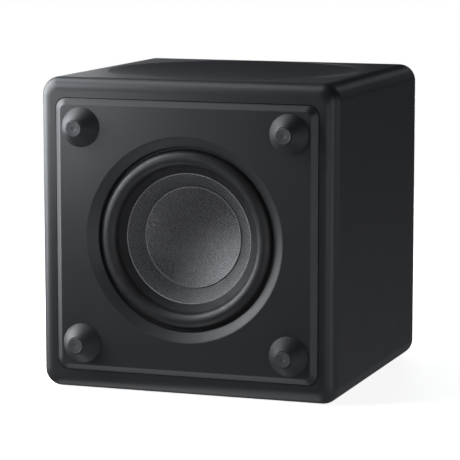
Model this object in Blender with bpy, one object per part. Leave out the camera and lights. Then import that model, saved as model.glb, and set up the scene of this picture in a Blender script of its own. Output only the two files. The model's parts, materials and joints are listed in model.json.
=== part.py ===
"""Compact down-firing subwoofer, modelled lying with its driver face forward.

Lengths below are millimetres; make_object turns them into metres.
Local coordinates are x (right), t (depth behind the front panel's face) and h (height above the
cabinet's centre line). The world origin is the middle of the cabinet's lower face.
"""

import math

import bmesh
import bpy
from mathutils import Vector

# ---- Driving dimensions (mm) -------------------------------------------------------------------

WIDTH = 235.0               # cabinet
HEIGHT = 237.0
TOTAL_DEPTH = 241.5         # rear face to the tips of the feet
FOOT_HEIGHT = 13.9          # how far the feet stand out of the front panel
PANEL_RAISE = 3.8           # how far the front panel stands out of the cabinet's rim
EDGE_RADIUS = 13.0          # the four long edges
REAR_RADIUS = 10.0          # the edges round the rear face
FRONT_ROUND_WIDTH = 10.5    # the front edges are rounded a little deeper than wide
FRONT_ROUND_DEPTH = 11.0
CORNER_SHRINK = 0.8         # how fast the corner radius falls as the outline is drawn in
WALL = 12.0                 # cabinet walls
GAP = 0.3                   # left between pieces that touch

PANEL_HALF = 103.4          # half side of the opening that the front panel sits in
PANEL_TOP_HALF = 98.8       # half side of the panel's raised face
PANEL_CORNER = 8.0
PANEL_TOP_CORNER = 4.5
REBATE_DEPTH = 8.0          # front opening's step, measured from the rim

DISH_RADIUS = 99.0          # shallow bowl in the upper face
DISH_DEPTH = 7.0

FOOT_SPACING = 164.0
FOOT_BASE_RADIUS = 15.0
FOOT_TIP_RADIUS = 6.7
FOOT_PAD_RADIUS = 6.0

WELL_RADIUS = 76.8          # outer edge of the chamfer round the driver
WELL_THROAT_RADIUS = 69.6
WELL_CHAMFER_DEPTH = 4.1
ROLL_RADIUS = 6.2           # half-round rubber edge
ROLL_CENTRE_RADIUS = 61.3
ROLL_BASE_T = 7.4
CONE_OUTER_RADIUS = 49.3    # visible edge of the cone
CONE_OUTER_T = 10.5
DISH_CAP_RADIUS = 38.1      # inner dish on the cone
DISH_CAP_T = 21.4
DISH_CAP_SAG = 6.5
COIL_RADIUS = 18.6          # inside of the voice coil's former

AMP_PLATE_HALF = 76.0       # rebate for the rear plate
AMP_OPENING_HALF = 62.0
TRAY_HALF_WIDTH = 48.0      # sunken tray for the connections
TRAY_HALF_HEIGHT = 17.0
TRAY_DEPTH = 9.0
TRAY_H = -30.0
INLET_X = -27.0
BUTTON_X = 20.0
LIGHT_X = 36.0

ROUND = 36                  # sides of a large round piece
SMALL_ROUND = 20            # sides of a pad, a button or a capacitor
SCREW_ROUND = 8             # sides of a screw or a screw hole
EDGE_STEPS = 5              # flats along a rounded edge

# ---- Places that follow from the dimensions ----------------------------------------------------

MM = 0.001
HALF_WIDTH = WIDTH / 2
HALF_HEIGHT = HEIGHT / 2
FRONT_Y = FOOT_HEIGHT - TOTAL_DEPTH / 2
RIM_T = PANEL_RAISE
BACK_T = TOTAL_DEPTH - FOOT_HEIGHT
LEDGE_T = RIM_T + REBATE_DEPTH
CAVITY_HALF_WIDTH = HALF_WIDTH - WALL
CAVITY_HALF_HEIGHT = HALF_HEIGHT - WALL
CAVITY_FRONT_T = LEDGE_T + WALL
CAVITY_BACK_T = BACK_T - WALL
PANEL_BACK_T = LEDGE_T - GAP
FOOT_OFFSET = FOOT_SPACING / 2
DRIVER_HOLE_RADIUS = 92.0
DRIVER_SCREW_RADIUS = 80.5
FLANGE_RADIUS = 87.0
FLANGE_T = LEDGE_T + 1.3
FLANGE_BACK_T = FLANGE_T + 3.0
AMP_REBATE_T = BACK_T - 5.0
AMP_PLATE_T = AMP_REBATE_T + 1.6
AMP_PLATE_BACK_T = AMP_PLATE_T + 3.0
AMP_SCREW_OFFSET = 70.5
TRAY_FLOOR_T = AMP_PLATE_BACK_T - TRAY_DEPTH
TRAY_UNDER_T = TRAY_FLOOR_T - 2.0
BOARD_T = 188.0
BOARD_BACK_T = BOARD_T + 1.6
BOARD_SCREW_OFFSET = 53.0
CORNERS = [("top_left", -1, 1), ("top_right", 1, 1), ("bottom_left", -1, -1), ("bottom_right", 1, -1)]


# ---- Materials ---------------------------------------------------------------------------------

def material(name, colour, roughness, metallic=0.0):
    """A plain Principled material."""
    made = bpy.data.materials.new(name)
    made.use_nodes = True
    shader = made.node_tree.nodes["Principled BSDF"]
    shader.inputs["Base Color"].default_value = (*colour, 1.0)
    shader.inputs["Roughness"].default_value = roughness
    shader.inputs["Metallic"].default_value = metallic
    made.diffuse_color = (*colour, 1.0)
    return made


def make_materials():
    return {
        "cabinet": material("cabinet", (0.030, 0.031, 0.034), 0.45),
        "panel": material("panel", (0.032, 0.033, 0.036), 0.42),
        "foot": material("foot", (0.034, 0.035, 0.038), 0.42),
        "pad": material("pad", (0.060, 0.061, 0.065), 0.75),
        "rubber": material("rubber", (0.014, 0.014, 0.015), 0.40),
        "weave": material("weave", (0.085, 0.086, 0.090), 0.55),
        "former": material("former", (0.45, 0.27, 0.10), 0.50),
        "copper": material("copper", (0.55, 0.24, 0.10), 0.35, 1.0),
        "spider": material("spider", (0.42, 0.30, 0.10), 0.90),
        "frame": material("frame", (0.020, 0.020, 0.021), 0.50, 0.6),
        "plated": material("plated", (0.52, 0.52, 0.50), 0.35, 1.0),
        "ferrite": material("ferrite", (0.045, 0.044, 0.046), 0.65),
        "screw": material("screw", (0.035, 0.035, 0.036), 0.40, 1.0),
        "foam": material("foam", (0.050, 0.050, 0.052), 0.95),
        "wadding": material("wadding", (0.55, 0.55, 0.53), 0.98),
        "amp": material("amp", (0.026, 0.026, 0.028), 0.55),
        "socket": material("socket", (0.018, 0.018, 0.019), 0.45),
        "pin": material("pin", (0.60, 0.59, 0.56), 0.28, 1.0),
        "button": material("button", (0.045, 0.046, 0.049), 0.50),
        "light": material("light", (0.72, 0.76, 0.80), 0.20),
        "board": material("board", (0.015, 0.075, 0.035), 0.50),
        "core": material("core", (0.085, 0.080, 0.075), 0.60),
        "capacitor": material("capacitor", (0.030, 0.045, 0.090), 0.35),
        "aluminium": material("aluminium", (0.62, 0.63, 0.64), 0.40, 1.0),
        "shield": material("shield", (0.66, 0.67, 0.66), 0.30, 1.0),
        "red_lead": material("red_lead", (0.42, 0.025, 0.020), 0.50),
        "black_lead": material("black_lead", (0.020, 0.020, 0.020), 0.50),
        "strip": material("strip", (0.30, 0.17, 0.07), 0.60),
    }


# ---- Mesh helpers ------------------------------------------------------------------------------

def make_object(name, mesh_data, paint, at=(0.0, 0.0, 0.0)):
    """Turn a bmesh in millimetres into a named object whose origin is at local (x, t, h)."""
    bmesh.ops.recalc_face_normals(mesh_data, faces=mesh_data.faces)
    bmesh.ops.scale(mesh_data, vec=Vector((MM, MM, MM)), verts=mesh_data.verts)
    mesh = bpy.data.meshes.new(name)
    mesh_data.to_mesh(mesh)
    mesh_data.free()
    mesh.shade_smooth()
    mesh.set_sharp_from_angle(angle=math.radians(35))
    made = bpy.data.objects.new(name, mesh)
    bpy.context.scene.collection.objects.link(made)
    x, t, h = at
    made.location = Vector((x, FRONT_Y + t, HALF_HEIGHT + h)) * MM
    if paint is not None:
        mesh.materials.append(paint)
    return made


def make_cutter(name, mesh_data, at=(0.0, 0.0, 0.0)):
    """A guide solid for a Boolean, which isn't part of the object."""
    made = make_object(name, mesh_data, None, at)
    made.hide_render = True
    made.display_type = "WIRE"
    return made


def boolean(target, other, operation="DIFFERENCE"):
    step = target.modifiers.new(other.name, "BOOLEAN")
    step.operation = operation
    step.solver = "EXACT"
    step.object = other
    return target


def add_turned(mesh_data, profile, sides, centre=(0.0, 0.0)):
    """Turn (radius, t) points about the depth axis. A profile that starts and ends on the axis
    makes a solid; any other is closed from its last point to its first and makes a ring."""
    solid = profile[0][0] == 0.0
    rings = []
    for radius, t in profile:
        if radius == 0.0:
            rings.append([mesh_data.verts.new((centre[0], t, centre[1]))])
            continue
        ring = []
        for i in range(sides):
            angle = 2 * math.pi * i / sides
            x = centre[0] + radius * math.cos(angle)
            h = centre[1] + radius * math.sin(angle)
            ring.append(mesh_data.verts.new((x, t, h)))
        rings.append(ring)
    pairs = list(zip(rings, rings[1:]))
    if not solid:
        pairs.append((rings[-1], rings[0]))
    for a, b in pairs:
        join_rings(mesh_data, a, b, sides)


def join_rings(mesh_data, a, b, sides):
    for i in range(sides):
        j = (i + 1) % sides
        if len(a) == 1:
            mesh_data.faces.new((a[0], b[i], b[j]))
        elif len(b) == 1:
            mesh_data.faces.new((a[i], b[0], a[j]))
        else:
            mesh_data.faces.new((a[i], b[i], b[j], a[j]))


def turned(profile, sides=ROUND, centre=(0.0, 0.0)):
    mesh_data = bmesh.new()
    add_turned(mesh_data, profile, sides, centre)
    return mesh_data


def add_disc(mesh_data, radius, low_t, high_t, centre=(0.0, 0.0), sides=SMALL_ROUND):
    """A plain cylinder along the depth axis."""
    profile = [(0.0, low_t), (radius, low_t), (radius, high_t), (0.0, high_t)]
    add_turned(mesh_data, profile, sides, centre)


def outline(half_width, half_height, corner, t, centre=(0.0, 0.0), steps=EDGE_STEPS):
    """A rectangle with round corners, as points at one depth."""
    points = []
    for sx, sh, start in ((1, 1, 0), (-1, 1, 90), (-1, -1, 180), (1, -1, 270)):
        for i in range(steps + 1):
            angle = math.radians(start + 90 * i / steps)
            x = sx * (half_width - corner) + corner * math.cos(angle)
            h = sh * (half_height - corner) + corner * math.sin(angle)
            points.append((centre[0] + x, t, centre[1] + h))
    return points


def add_loft(mesh_data, rings):
    """Skin outlines of the same number of points, and close both ends."""
    made = [[mesh_data.verts.new(p) for p in ring] for ring in rings]
    count = len(made[0])
    for a, b in zip(made, made[1:]):
        for i in range(count):
            j = (i + 1) % count
            mesh_data.faces.new((a[i], b[i], b[j], a[j]))
    mesh_data.faces.new(made[0])
    mesh_data.faces.new(list(reversed(made[-1])))


def loft(rings):
    mesh_data = bmesh.new()
    add_loft(mesh_data, rings)
    return mesh_data


def add_slab(mesh_data, half_width, half_height, corner, low_t, high_t, centre=(0.0, 0.0), steps=4):
    low = outline(half_width, half_height, corner, low_t, centre, steps)
    high = outline(half_width, half_height, corner, high_t, centre, steps)
    add_loft(mesh_data, [low, high])


def slab(half_width, half_height, corner, low_t, high_t, centre=(0.0, 0.0), steps=4):
    mesh_data = bmesh.new()
    add_slab(mesh_data, half_width, half_height, corner, low_t, high_t, centre, steps)
    return mesh_data


def arc(centre_r, centre_t, radius, start, end, steps):
    """Points (r, t) along an arc; 90 degrees points towards the front."""
    points = []
    for i in range(steps + 1):
        angle = math.radians(start + (end - start) * i / steps)
        points.append((centre_r + radius * math.cos(angle), centre_t - radius * math.sin(angle)))
    return points


def smooth_route(points, steps):
    """A smooth curve through hand-placed points (Catmull-Rom), with steps samples per span."""
    knots = [Vector(p) for p in points]
    knots = [2 * knots[0] - knots[1], *knots, 2 * knots[-1] - knots[-2]]
    route = []
    for k in range(1, len(knots) - 2):
        a, b, c, d = knots[k - 1:k + 3]
        for i in range(steps):
            s = i / steps
            bend = (2 * a - 5 * b + 4 * c - d) * s * s + (3 * b - a - 3 * c + d) * s ** 3
            route.append(b + 0.5 * ((c - a) * s + bend))
    route.append(knots[-2])
    return route


def make_wire(name, points, diameter, paint, steps=4):
    """A round wire through local (x, t, h) points."""
    curve = bpy.data.curves.new(name, "CURVE")
    curve.dimensions = "3D"
    curve.bevel_depth = diameter / 2 * MM
    curve.bevel_resolution = 2
    curve.use_fill_caps = True
    route = smooth_route(points, steps)
    spline = curve.splines.new("POLY")
    spline.points.add(len(route) - 1)
    for point, place in zip(spline.points, route):
        point.co = (place.x * MM, place.y * MM, place.z * MM, 1.0)
    made = bpy.data.objects.new(name, curve)
    bpy.context.scene.collection.objects.link(made)
    made.location = Vector((0.0, FRONT_Y, HALF_HEIGHT)) * MM
    curve.materials.append(paint)
    return made


# ---- Cabinet -----------------------------------------------------------------------------------

def section(inset, t):
    """Outline of the cabinet at one depth, drawn in from its full size by the inset."""
    return outline(HALF_WIDTH - inset, HALF_HEIGHT - inset, EDGE_RADIUS - CORNER_SHRINK * inset, t)


def cabinet_rings():
    """Cross-sections of the rounded cube from its front rim to its rear face."""
    rings = []
    for i in range(EDGE_STEPS + 1):
        angle = math.radians(90 * i / EDGE_STEPS)
        inset = FRONT_ROUND_WIDTH * (1 - math.sin(angle))
        t = RIM_T + FRONT_ROUND_DEPTH * (1 - math.cos(angle))
        rings.append(section(inset, t))
    for i in range(EDGE_STEPS + 1):
        angle = math.radians(90 * i / EDGE_STEPS)
        inset = REAR_RADIUS * (1 - math.cos(angle))
        t = BACK_T - REAR_RADIUS * (1 - math.sin(angle))
        rings.append(section(inset, t))
    return rings


def dish_cutter():
    """A shallow spherical cap that hollows the upper face."""
    sphere = (DISH_RADIUS ** 2 + DISH_DEPTH ** 2) / (2 * DISH_DEPTH)
    profile = [(0.0, -DISH_DEPTH)]
    steps = 6
    for i in range(1, steps + 1):
        radius = DISH_RADIUS * i / steps
        sink = sphere - DISH_DEPTH - math.sqrt(sphere ** 2 - radius ** 2)
        profile.append((radius, sink))
    profile += [(DISH_RADIUS, 5.0), (0.0, 5.0)]
    mesh_data = turned(profile, ROUND)
    cutter = make_cutter("cut_dish", mesh_data, at=(0.0, (RIM_T + BACK_T) / 2, HALF_HEIGHT))
    cutter.rotation_euler = (math.radians(90), 0.0, 0.0)
    return cutter


def amp_screw_places():
    for sx in (-1, 0, 1):
        for sh in (-1, 1):
            yield sx * AMP_SCREW_OFFSET, sh * AMP_SCREW_OFFSET


def make_cabinet(paint):
    shell = make_object("cabinet_shell", loft(cabinet_rings()), paint["cabinet"])

    rebates = bmesh.new()
    front = [outline(PANEL_HALF, PANEL_HALF, PANEL_CORNER, t) for t in (RIM_T - 5.0, LEDGE_T)]
    add_loft(rebates, front)
    rear = [outline(AMP_PLATE_HALF, AMP_PLATE_HALF, 8.0, t) for t in (AMP_REBATE_T, BACK_T + 5.0)]
    add_loft(rebates, rear)
    boolean(shell, make_cutter("cut_rebates", rebates))

    cavity = slab(CAVITY_HALF_WIDTH, CAVITY_HALF_HEIGHT, 8.0, CAVITY_FRONT_T, CAVITY_BACK_T)
    boolean(shell, make_cutter("cut_cavity", cavity))

    holes = bmesh.new()
    add_disc(holes, DRIVER_HOLE_RADIUS, LEDGE_T - 1.0, CAVITY_FRONT_T + 1.0, sides=ROUND)
    add_slab(holes, AMP_OPENING_HALF, AMP_OPENING_HALF, 6.0, CAVITY_BACK_T - 1.0, AMP_REBATE_T + 1.0)
    for _, sx, sh in CORNERS:
        place = (sx * FOOT_OFFSET, sh * FOOT_OFFSET)
        add_disc(holes, 2.0, LEDGE_T - 1.0, CAVITY_FRONT_T + 1.0, place, SCREW_ROUND)
    for place in amp_screw_places():
        add_disc(holes, 1.8, CAVITY_BACK_T - 1.0, AMP_REBATE_T + 1.0, place, SCREW_ROUND)
    boolean(shell, make_cutter("cut_holes", holes))

    boolean(shell, dish_cutter())


def make_panel(paint):
    """Raised front panel with its chamfered well; the driver seats against its rear face."""
    inside = PANEL_HALF - GAP
    rings = [
        outline(PANEL_TOP_HALF, PANEL_TOP_HALF, PANEL_TOP_CORNER, 0.0),
        outline(inside, inside, PANEL_CORNER, RIM_T),
        outline(inside, inside, PANEL_CORNER, PANEL_BACK_T),
    ]
    panel = make_object("baffle_panel", loft(rings), paint["panel"])

    slope = (WELL_RADIUS - WELL_THROAT_RADIUS) / WELL_CHAMFER_DEPTH
    lead_in = 2.0
    seat_radius = 74.0
    seat_t = WELL_CHAMFER_DEPTH + 1.4
    profile = [
        (0.0, -lead_in),
        (WELL_RADIUS + slope * lead_in, -lead_in),
        (WELL_THROAT_RADIUS, WELL_CHAMFER_DEPTH),
        (WELL_THROAT_RADIUS, seat_t),
        (seat_radius, seat_t),
        (seat_radius, PANEL_BACK_T + 1.0),
        (0.0, PANEL_BACK_T + 1.0),
    ]
    holes = turned(profile, 48)
    for _, sx, sh in CORNERS:
        add_disc(holes, 2.3, -1.0, PANEL_BACK_T + 1.0, (sx * FOOT_OFFSET, sh * FOOT_OFFSET), SCREW_ROUND)
    for place in driver_screw_places():
        add_disc(holes, 1.6, 4.5, PANEL_BACK_T + 1.0, place, SCREW_ROUND)
    boolean(panel, make_cutter("cut_panel", holes))


# ---- Feet --------------------------------------------------------------------------------------

def make_feet(paint):
    """Four conical feet, each with a rubber pad that hides its fixing screw."""
    pad_seat_t = -11.0
    head_seat_t = -7.6
    cone = [
        (FOOT_BASE_RADIUS, -GAP),
        (FOOT_BASE_RADIUS, -GAP - 0.6),
        (FOOT_TIP_RADIUS, -12.9),
        (FOOT_PAD_RADIUS + GAP, -12.9),
        (FOOT_PAD_RADIUS + GAP, pad_seat_t),
        (4.0, pad_seat_t),
        (4.0, head_seat_t),
        (2.3, head_seat_t),
        (2.3, -GAP),
    ]
    pad = [
        (0.0, pad_seat_t - GAP),
        (FOOT_PAD_RADIUS, pad_seat_t - GAP),
        (FOOT_PAD_RADIUS, -FOOT_HEIGHT + 0.4),
        (FOOT_PAD_RADIUS - 0.5, -FOOT_HEIGHT),
        (1.6, -FOOT_HEIGHT),
        (0.6, -FOOT_HEIGHT + 0.7),
        (0.0, -FOOT_HEIGHT + 0.7),
    ]
    screw = [
        (0.0, -9.2),
        (1.5, -9.2),
        (1.5, -10.7),
        (3.6, -10.7),
        (3.6, head_seat_t - GAP),
        (1.6, head_seat_t - GAP),
        (1.6, 20.0),
        (0.0, 21.5),
    ]
    for corner, sx, sh in CORNERS:
        at = (sx * FOOT_OFFSET, 0.0, sh * FOOT_OFFSET)
        make_object("foot_" + corner, turned(cone, SMALL_ROUND), paint["foot"], at)
        make_object("foot_pad_" + corner, turned(pad, SMALL_ROUND), paint["pad"], at)
        make_object("foot_screw_" + corner, turned(screw, SCREW_ROUND), paint["screw"], at)


# ---- Driver ------------------------------------------------------------------------------------

def driver_screw_places():
    for i in range(4):
        angle = math.radians(45 + 90 * i)
        yield DRIVER_SCREW_RADIUS * math.cos(angle), DRIVER_SCREW_RADIUS * math.sin(angle)


def sector(inner, outer, middle, half_width, low_t, high_t):
    """A wedge-shaped block between two radii, for a window in the basket."""
    steps = 4
    points = []
    for radius, sign in ((inner, 1), (outer, -1)):
        for i in range(steps + 1):
            angle = math.radians(middle + sign * half_width * (1 - 2 * i / steps))
            points.append((radius * math.cos(angle), radius * math.sin(angle)))
    return [[(x, t, h) for x, h in points] for t in (low_t, high_t)]


def make_driver_frame(paint):
    """Pressed basket: flange, six windows, spider shelf and the seat for the magnet."""
    profile = [
        (FLANGE_RADIUS, FLANGE_T),
        (FLANGE_RADIUS, FLANGE_BACK_T),
        (73.8, FLANGE_BACK_T),
        (61.0, 44.0),
        (61.0, 48.5),
        (53.0, 51.0),
        (50.0, 63.0),
        (24.5, 63.0),
        (24.5, 60.5),
        (47.5, 60.5),
        (50.0, 49.0),
        (50.0, 45.5),
        (58.2, 45.5),
        (58.2, 43.0),
        (70.6, 16.0),
        (67.9, 14.0),
        (67.9, ROLL_BASE_T + 1.3),
        (73.4, ROLL_BASE_T + 1.3),
        (73.4, FLANGE_T),
    ]
    frame = make_object("driver_frame", turned(profile), paint["frame"])
    windows = bmesh.new()
    for i in range(6):
        add_loft(windows, sector(40.0, 85.0, 30 + 60 * i, 19, 19.5, 41.5))
    for place in driver_screw_places():
        add_disc(windows, 2.0, FLANGE_T - 1.0, FLANGE_BACK_T + 1.0, place, SCREW_ROUND)
    boolean(frame, make_cutter("cut_frame", windows))

    gasket = [(74.6, LEDGE_T), (78.3, LEDGE_T), (78.3, LEDGE_T + 1.0), (74.6, LEDGE_T + 1.0)]
    make_object("driver_gasket", turned(gasket), paint["foam"])

    head_t = FLANGE_BACK_T + GAP
    screw = [
        (0.0, 5.4),
        (1.2, 6.4),
        (1.2, head_t),
        (3.4, head_t),
        (3.4, head_t + 1.6),
        (2.4, head_t + 2.4),
        (1.2, head_t + 2.4),
        (0.8, head_t + 1.2),
        (0.0, head_t + 1.2),
    ]
    for i, (x, h) in enumerate(driver_screw_places(), 1):
        make_object(f"driver_screw_{i}", turned(screw, SCREW_ROUND), paint["screw"], (x, 0.0, h))


def make_surround(paint):
    """Half-round rubber edge, with an outer lip on the frame and an inner land on the cone."""
    inner_roll = ROLL_RADIUS - 0.8
    profile = [(73.2, ROLL_BASE_T)]
    profile += arc(ROLL_CENTRE_RADIUS, ROLL_BASE_T, ROLL_RADIUS, 0, 180, 9)
    profile += [
        (CONE_OUTER_RADIUS, CONE_OUTER_T),
        (CONE_OUTER_RADIUS, CONE_OUTER_T + 0.7),
        (55.3, ROLL_BASE_T + 0.9),
    ]
    profile += arc(ROLL_CENTRE_RADIUS, ROLL_BASE_T, inner_roll, 180, 0, 6)
    profile += [(66.9, ROLL_BASE_T + 1.0), (73.2, ROLL_BASE_T + 1.0)]
    make_object("surround", turned(profile), paint["rubber"])


def make_moving_parts(paint):
    """Cone, inner dish, former and winding, which move together along the axis."""
    skin = 1.3
    front = [(54.6, 8.9), (CONE_OUTER_RADIUS - 0.3, 11.8), (DISH_CAP_RADIUS, DISH_CAP_T), (19.5, 39.0)]
    back = [(r, t + skin) for r, t in reversed(front)]
    make_object("cone", turned(front + back), paint["weave"])

    edge_t = DISH_CAP_T - 0.9
    cap_skin = 0.7
    steps = 5
    face = []
    for i in range(steps + 1):
        radius = (DISH_CAP_RADIUS - 0.2) * (1 - i / steps)
        rise = (radius / DISH_CAP_RADIUS) ** 2
        face.append((radius, edge_t + DISH_CAP_SAG * (1 - rise)))
    back = [(r, t + cap_skin) for r, t in reversed(face[1:])]
    rim = [(DISH_CAP_RADIUS - 0.7, edge_t + cap_skin)]
    solid = list(reversed(face)) + rim + list(reversed(back))
    make_object("dust_dish", turned(solid), paint["weave"])

    wall = [(COIL_RADIUS, 38.0), (COIL_RADIUS + 0.5, 38.0), (COIL_RADIUS + 0.5, 73.5), (COIL_RADIUS, 73.5)]
    make_object("voice_coil_former", turned(wall, 32), paint["former"])
    inner = COIL_RADIUS + 0.7
    winding = [(inner, 58.8), (inner + 1.0, 58.8), (inner + 1.0, 72.8), (inner, 72.8)]
    make_object("voice_coil", turned(winding, 32), paint["copper"])


def make_spider(paint):
    """Corrugated cloth disc that centres the coil."""
    level = 44.4
    skin = 0.7
    wave = 9.0
    height = 1.3
    start = 22.0
    top = [(19.4, level), (start, level)]
    for i in range(1, 12):
        radius = start + wave * i / 4
        top.append((radius, level + height * math.sin(2 * math.pi * i / 4)))
    top += [(50.2, level), (57.6, level)]
    back = [(r, t + skin) for r, t in reversed(top)]
    make_object("spider", turned(top + back, 24), paint["spider"])


def make_motor(paint):
    """Ferrite ring between a top plate and a back plate with its vented pole."""
    top = [(20.9, 63.3), (50.0, 63.3), (50.0, 68.3), (20.9, 68.3)]
    make_object("top_plate", turned(top), paint["plated"])
    ring = [(26.0, 68.6), (53.0, 68.6), (53.0, 86.6), (26.0, 86.6)]
    make_object("magnet", turned(ring), paint["ferrite"])
    yoke = [(4.0, 63.8), (18.0, 63.8), (18.0, 86.9), (50.0, 86.9), (50.0, 92.9), (4.0, 92.9)]
    make_object("yoke", turned(yoke), paint["plated"])


def make_driver_terminals(paint):
    """Insulating strip with two lugs, and the braided leads that cross to the cone."""
    base_t = FLANGE_BACK_T + GAP
    section = [(-12, 0), (-12, 1.8), (-9, 1.8), (-9, 3.4), (-5, 3.4), (-5, 1.8)]
    section += [(-x, t) for x, t in reversed(section)]
    rings = [[(x, base_t + t, h) for x, t in section] for h in (-85.0, -76.5)]
    make_object("terminal_strip", loft(rings), paint["strip"])
    for side, sign in (("left", -1), ("right", 1)):
        route = [
            (sign * 7.0, base_t + 4.5, -79.0),
            (sign * 7.0, 26.5, -76.0),
            (sign * 6.8, 31.0, -66.0),
            (sign * 6.0, 37.5, -53.0),
            (sign * 5.5, 36.0, -41.0),
            (sign * 5.0, 29.5, -34.5),
        ]
        make_wire("tinsel_lead_" + side, route, 1.3, paint["copper"], steps=2)


def make_driver(paint):
    make_driver_frame(paint)
    make_surround(paint)
    make_moving_parts(paint)
    make_spider(paint)
    make_motor(paint)
    make_driver_terminals(paint)


# ---- Rear plate and electronics ----------------------------------------------------------------

def make_amp_plate(paint):
    """Rear plate with a sunken tray for the connections and posts for the boards."""
    half = AMP_PLATE_HALF - 0.4
    plate = make_object("amp_plate", slab(half, half, 7.6, AMP_PLATE_T, AMP_PLATE_BACK_T), paint["amp"])
    tray_at = (0.0, TRAY_H)
    added = slab(
        TRAY_HALF_WIDTH + 2.2, TRAY_HALF_HEIGHT + 2.2, 6.2,
        TRAY_UNDER_T, AMP_PLATE_T + 0.5, tray_at,
    )
    for _, sx, sh in CORNERS:
        place = (sx * BOARD_SCREW_OFFSET, sh * BOARD_SCREW_OFFSET)
        add_disc(added, 3.6, BOARD_BACK_T + GAP, AMP_PLATE_T + 0.5, place, 10)
    boolean(plate, make_cutter("add_tray", added), "UNION")

    posts = bmesh.new()
    for x, h in ((BUTTON_X - 8.0, TRAY_H + 10.0), (LIGHT_X + 6.0, TRAY_H - 10.0)):
        add_disc(posts, 2.2, 209.0, TRAY_UNDER_T + 0.5, (x, h), 8)
    boolean(plate, make_cutter("add_posts", posts), "UNION")

    hollow = slab(
        TRAY_HALF_WIDTH, TRAY_HALF_HEIGHT, 4.0,
        TRAY_FLOOR_T, AMP_PLATE_BACK_T + 1.0, tray_at,
    )
    for place in amp_screw_places():
        add_disc(hollow, 3.7, AMP_PLATE_BACK_T - 1.9, AMP_PLATE_BACK_T + 1.0, place, 12)
    boolean(plate, make_cutter("cut_tray", hollow))

    holes = bmesh.new()
    for place in amp_screw_places():
        add_disc(holes, 1.8, AMP_PLATE_T - 1.0, AMP_PLATE_BACK_T - 1.5, place, SCREW_ROUND)
    for _, sx, sh in CORNERS:
        place = (sx * BOARD_SCREW_OFFSET, sh * BOARD_SCREW_OFFSET)
        add_disc(holes, 1.6, BOARD_BACK_T - 1.0, BOARD_BACK_T + 10.0, place, SCREW_ROUND)
    low, high = TRAY_UNDER_T - 1.0, TRAY_FLOOR_T + 0.5
    add_slab(holes, 12.2, 7.2, 7.0, low, high, (INLET_X, TRAY_H))
    add_disc(holes, 4.4, low, high, (BUTTON_X, TRAY_H))
    add_disc(holes, 2.0, low, high, (LIGHT_X, TRAY_H), 16)
    boolean(plate, make_cutter("cut_plate_holes", holes))


def make_amp_fixings(paint):
    low, high = AMP_REBATE_T + GAP, AMP_REBATE_T + 1.3
    seal = make_object("amp_gasket", slab(66.4, 66.4, 8.0, low, high), paint["foam"])
    boolean(seal, make_cutter("cut_gasket", slab(62.6, 62.6, 6.0, low - 1.0, high + 1.0)))
    head_t = AMP_PLATE_BACK_T - 1.6
    screw = [
        (0.0, 213.0),
        (1.3, 214.2),
        (1.3, head_t),
        (3.3, head_t),
        (3.3, AMP_PLATE_BACK_T - 0.3),
        (2.9, AMP_PLATE_BACK_T),
        (1.3, AMP_PLATE_BACK_T),
        (0.9, AMP_PLATE_BACK_T - 1.0),
        (0.0, AMP_PLATE_BACK_T - 1.0),
    ]
    for i, (x, h) in enumerate(amp_screw_places(), 1):
        make_object(f"amp_screw_{i}", turned(screw, 12), paint["screw"], (x, 0.0, h))


def make_inlet(paint):
    """Two-pin mains inlet, open towards the rear."""
    at = (INLET_X, TRAY_H)
    face_t = TRAY_FLOOR_T + 0.9
    socket = make_object("inlet_socket", slab(11.9, 6.9, 6.7, 200.0, face_t, at), paint["socket"])
    flange = slab(15.0, 10.0, 2.0, TRAY_UNDER_T - 2.8, TRAY_UNDER_T - GAP, at)
    boolean(socket, make_cutter("add_flange", flange), "UNION")
    hollow = slab(8.6, 4.5, 4.3, 205.0, face_t + 1.0, at)
    boolean(socket, make_cutter("cut_socket", hollow))
    pin_offset = 4.3
    bores = bmesh.new()
    for sign in (-1, 1):
        add_disc(bores, 1.5, 199.0, 206.0, (INLET_X + sign * pin_offset, TRAY_H), SCREW_ROUND)
    boolean(socket, make_cutter("cut_pin_bores", bores))
    pin = [(0.0, BOARD_BACK_T + GAP), (1.2, BOARD_BACK_T + GAP), (1.2, 216.0), (0.6, 216.8), (0.0, 216.8)]
    for side, sign in (("left", -1), ("right", 1)):
        place = (INLET_X + sign * pin_offset, 0.0, TRAY_H)
        make_object("inlet_pin_" + side, turned(pin, 10), paint["pin"], place)


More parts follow.
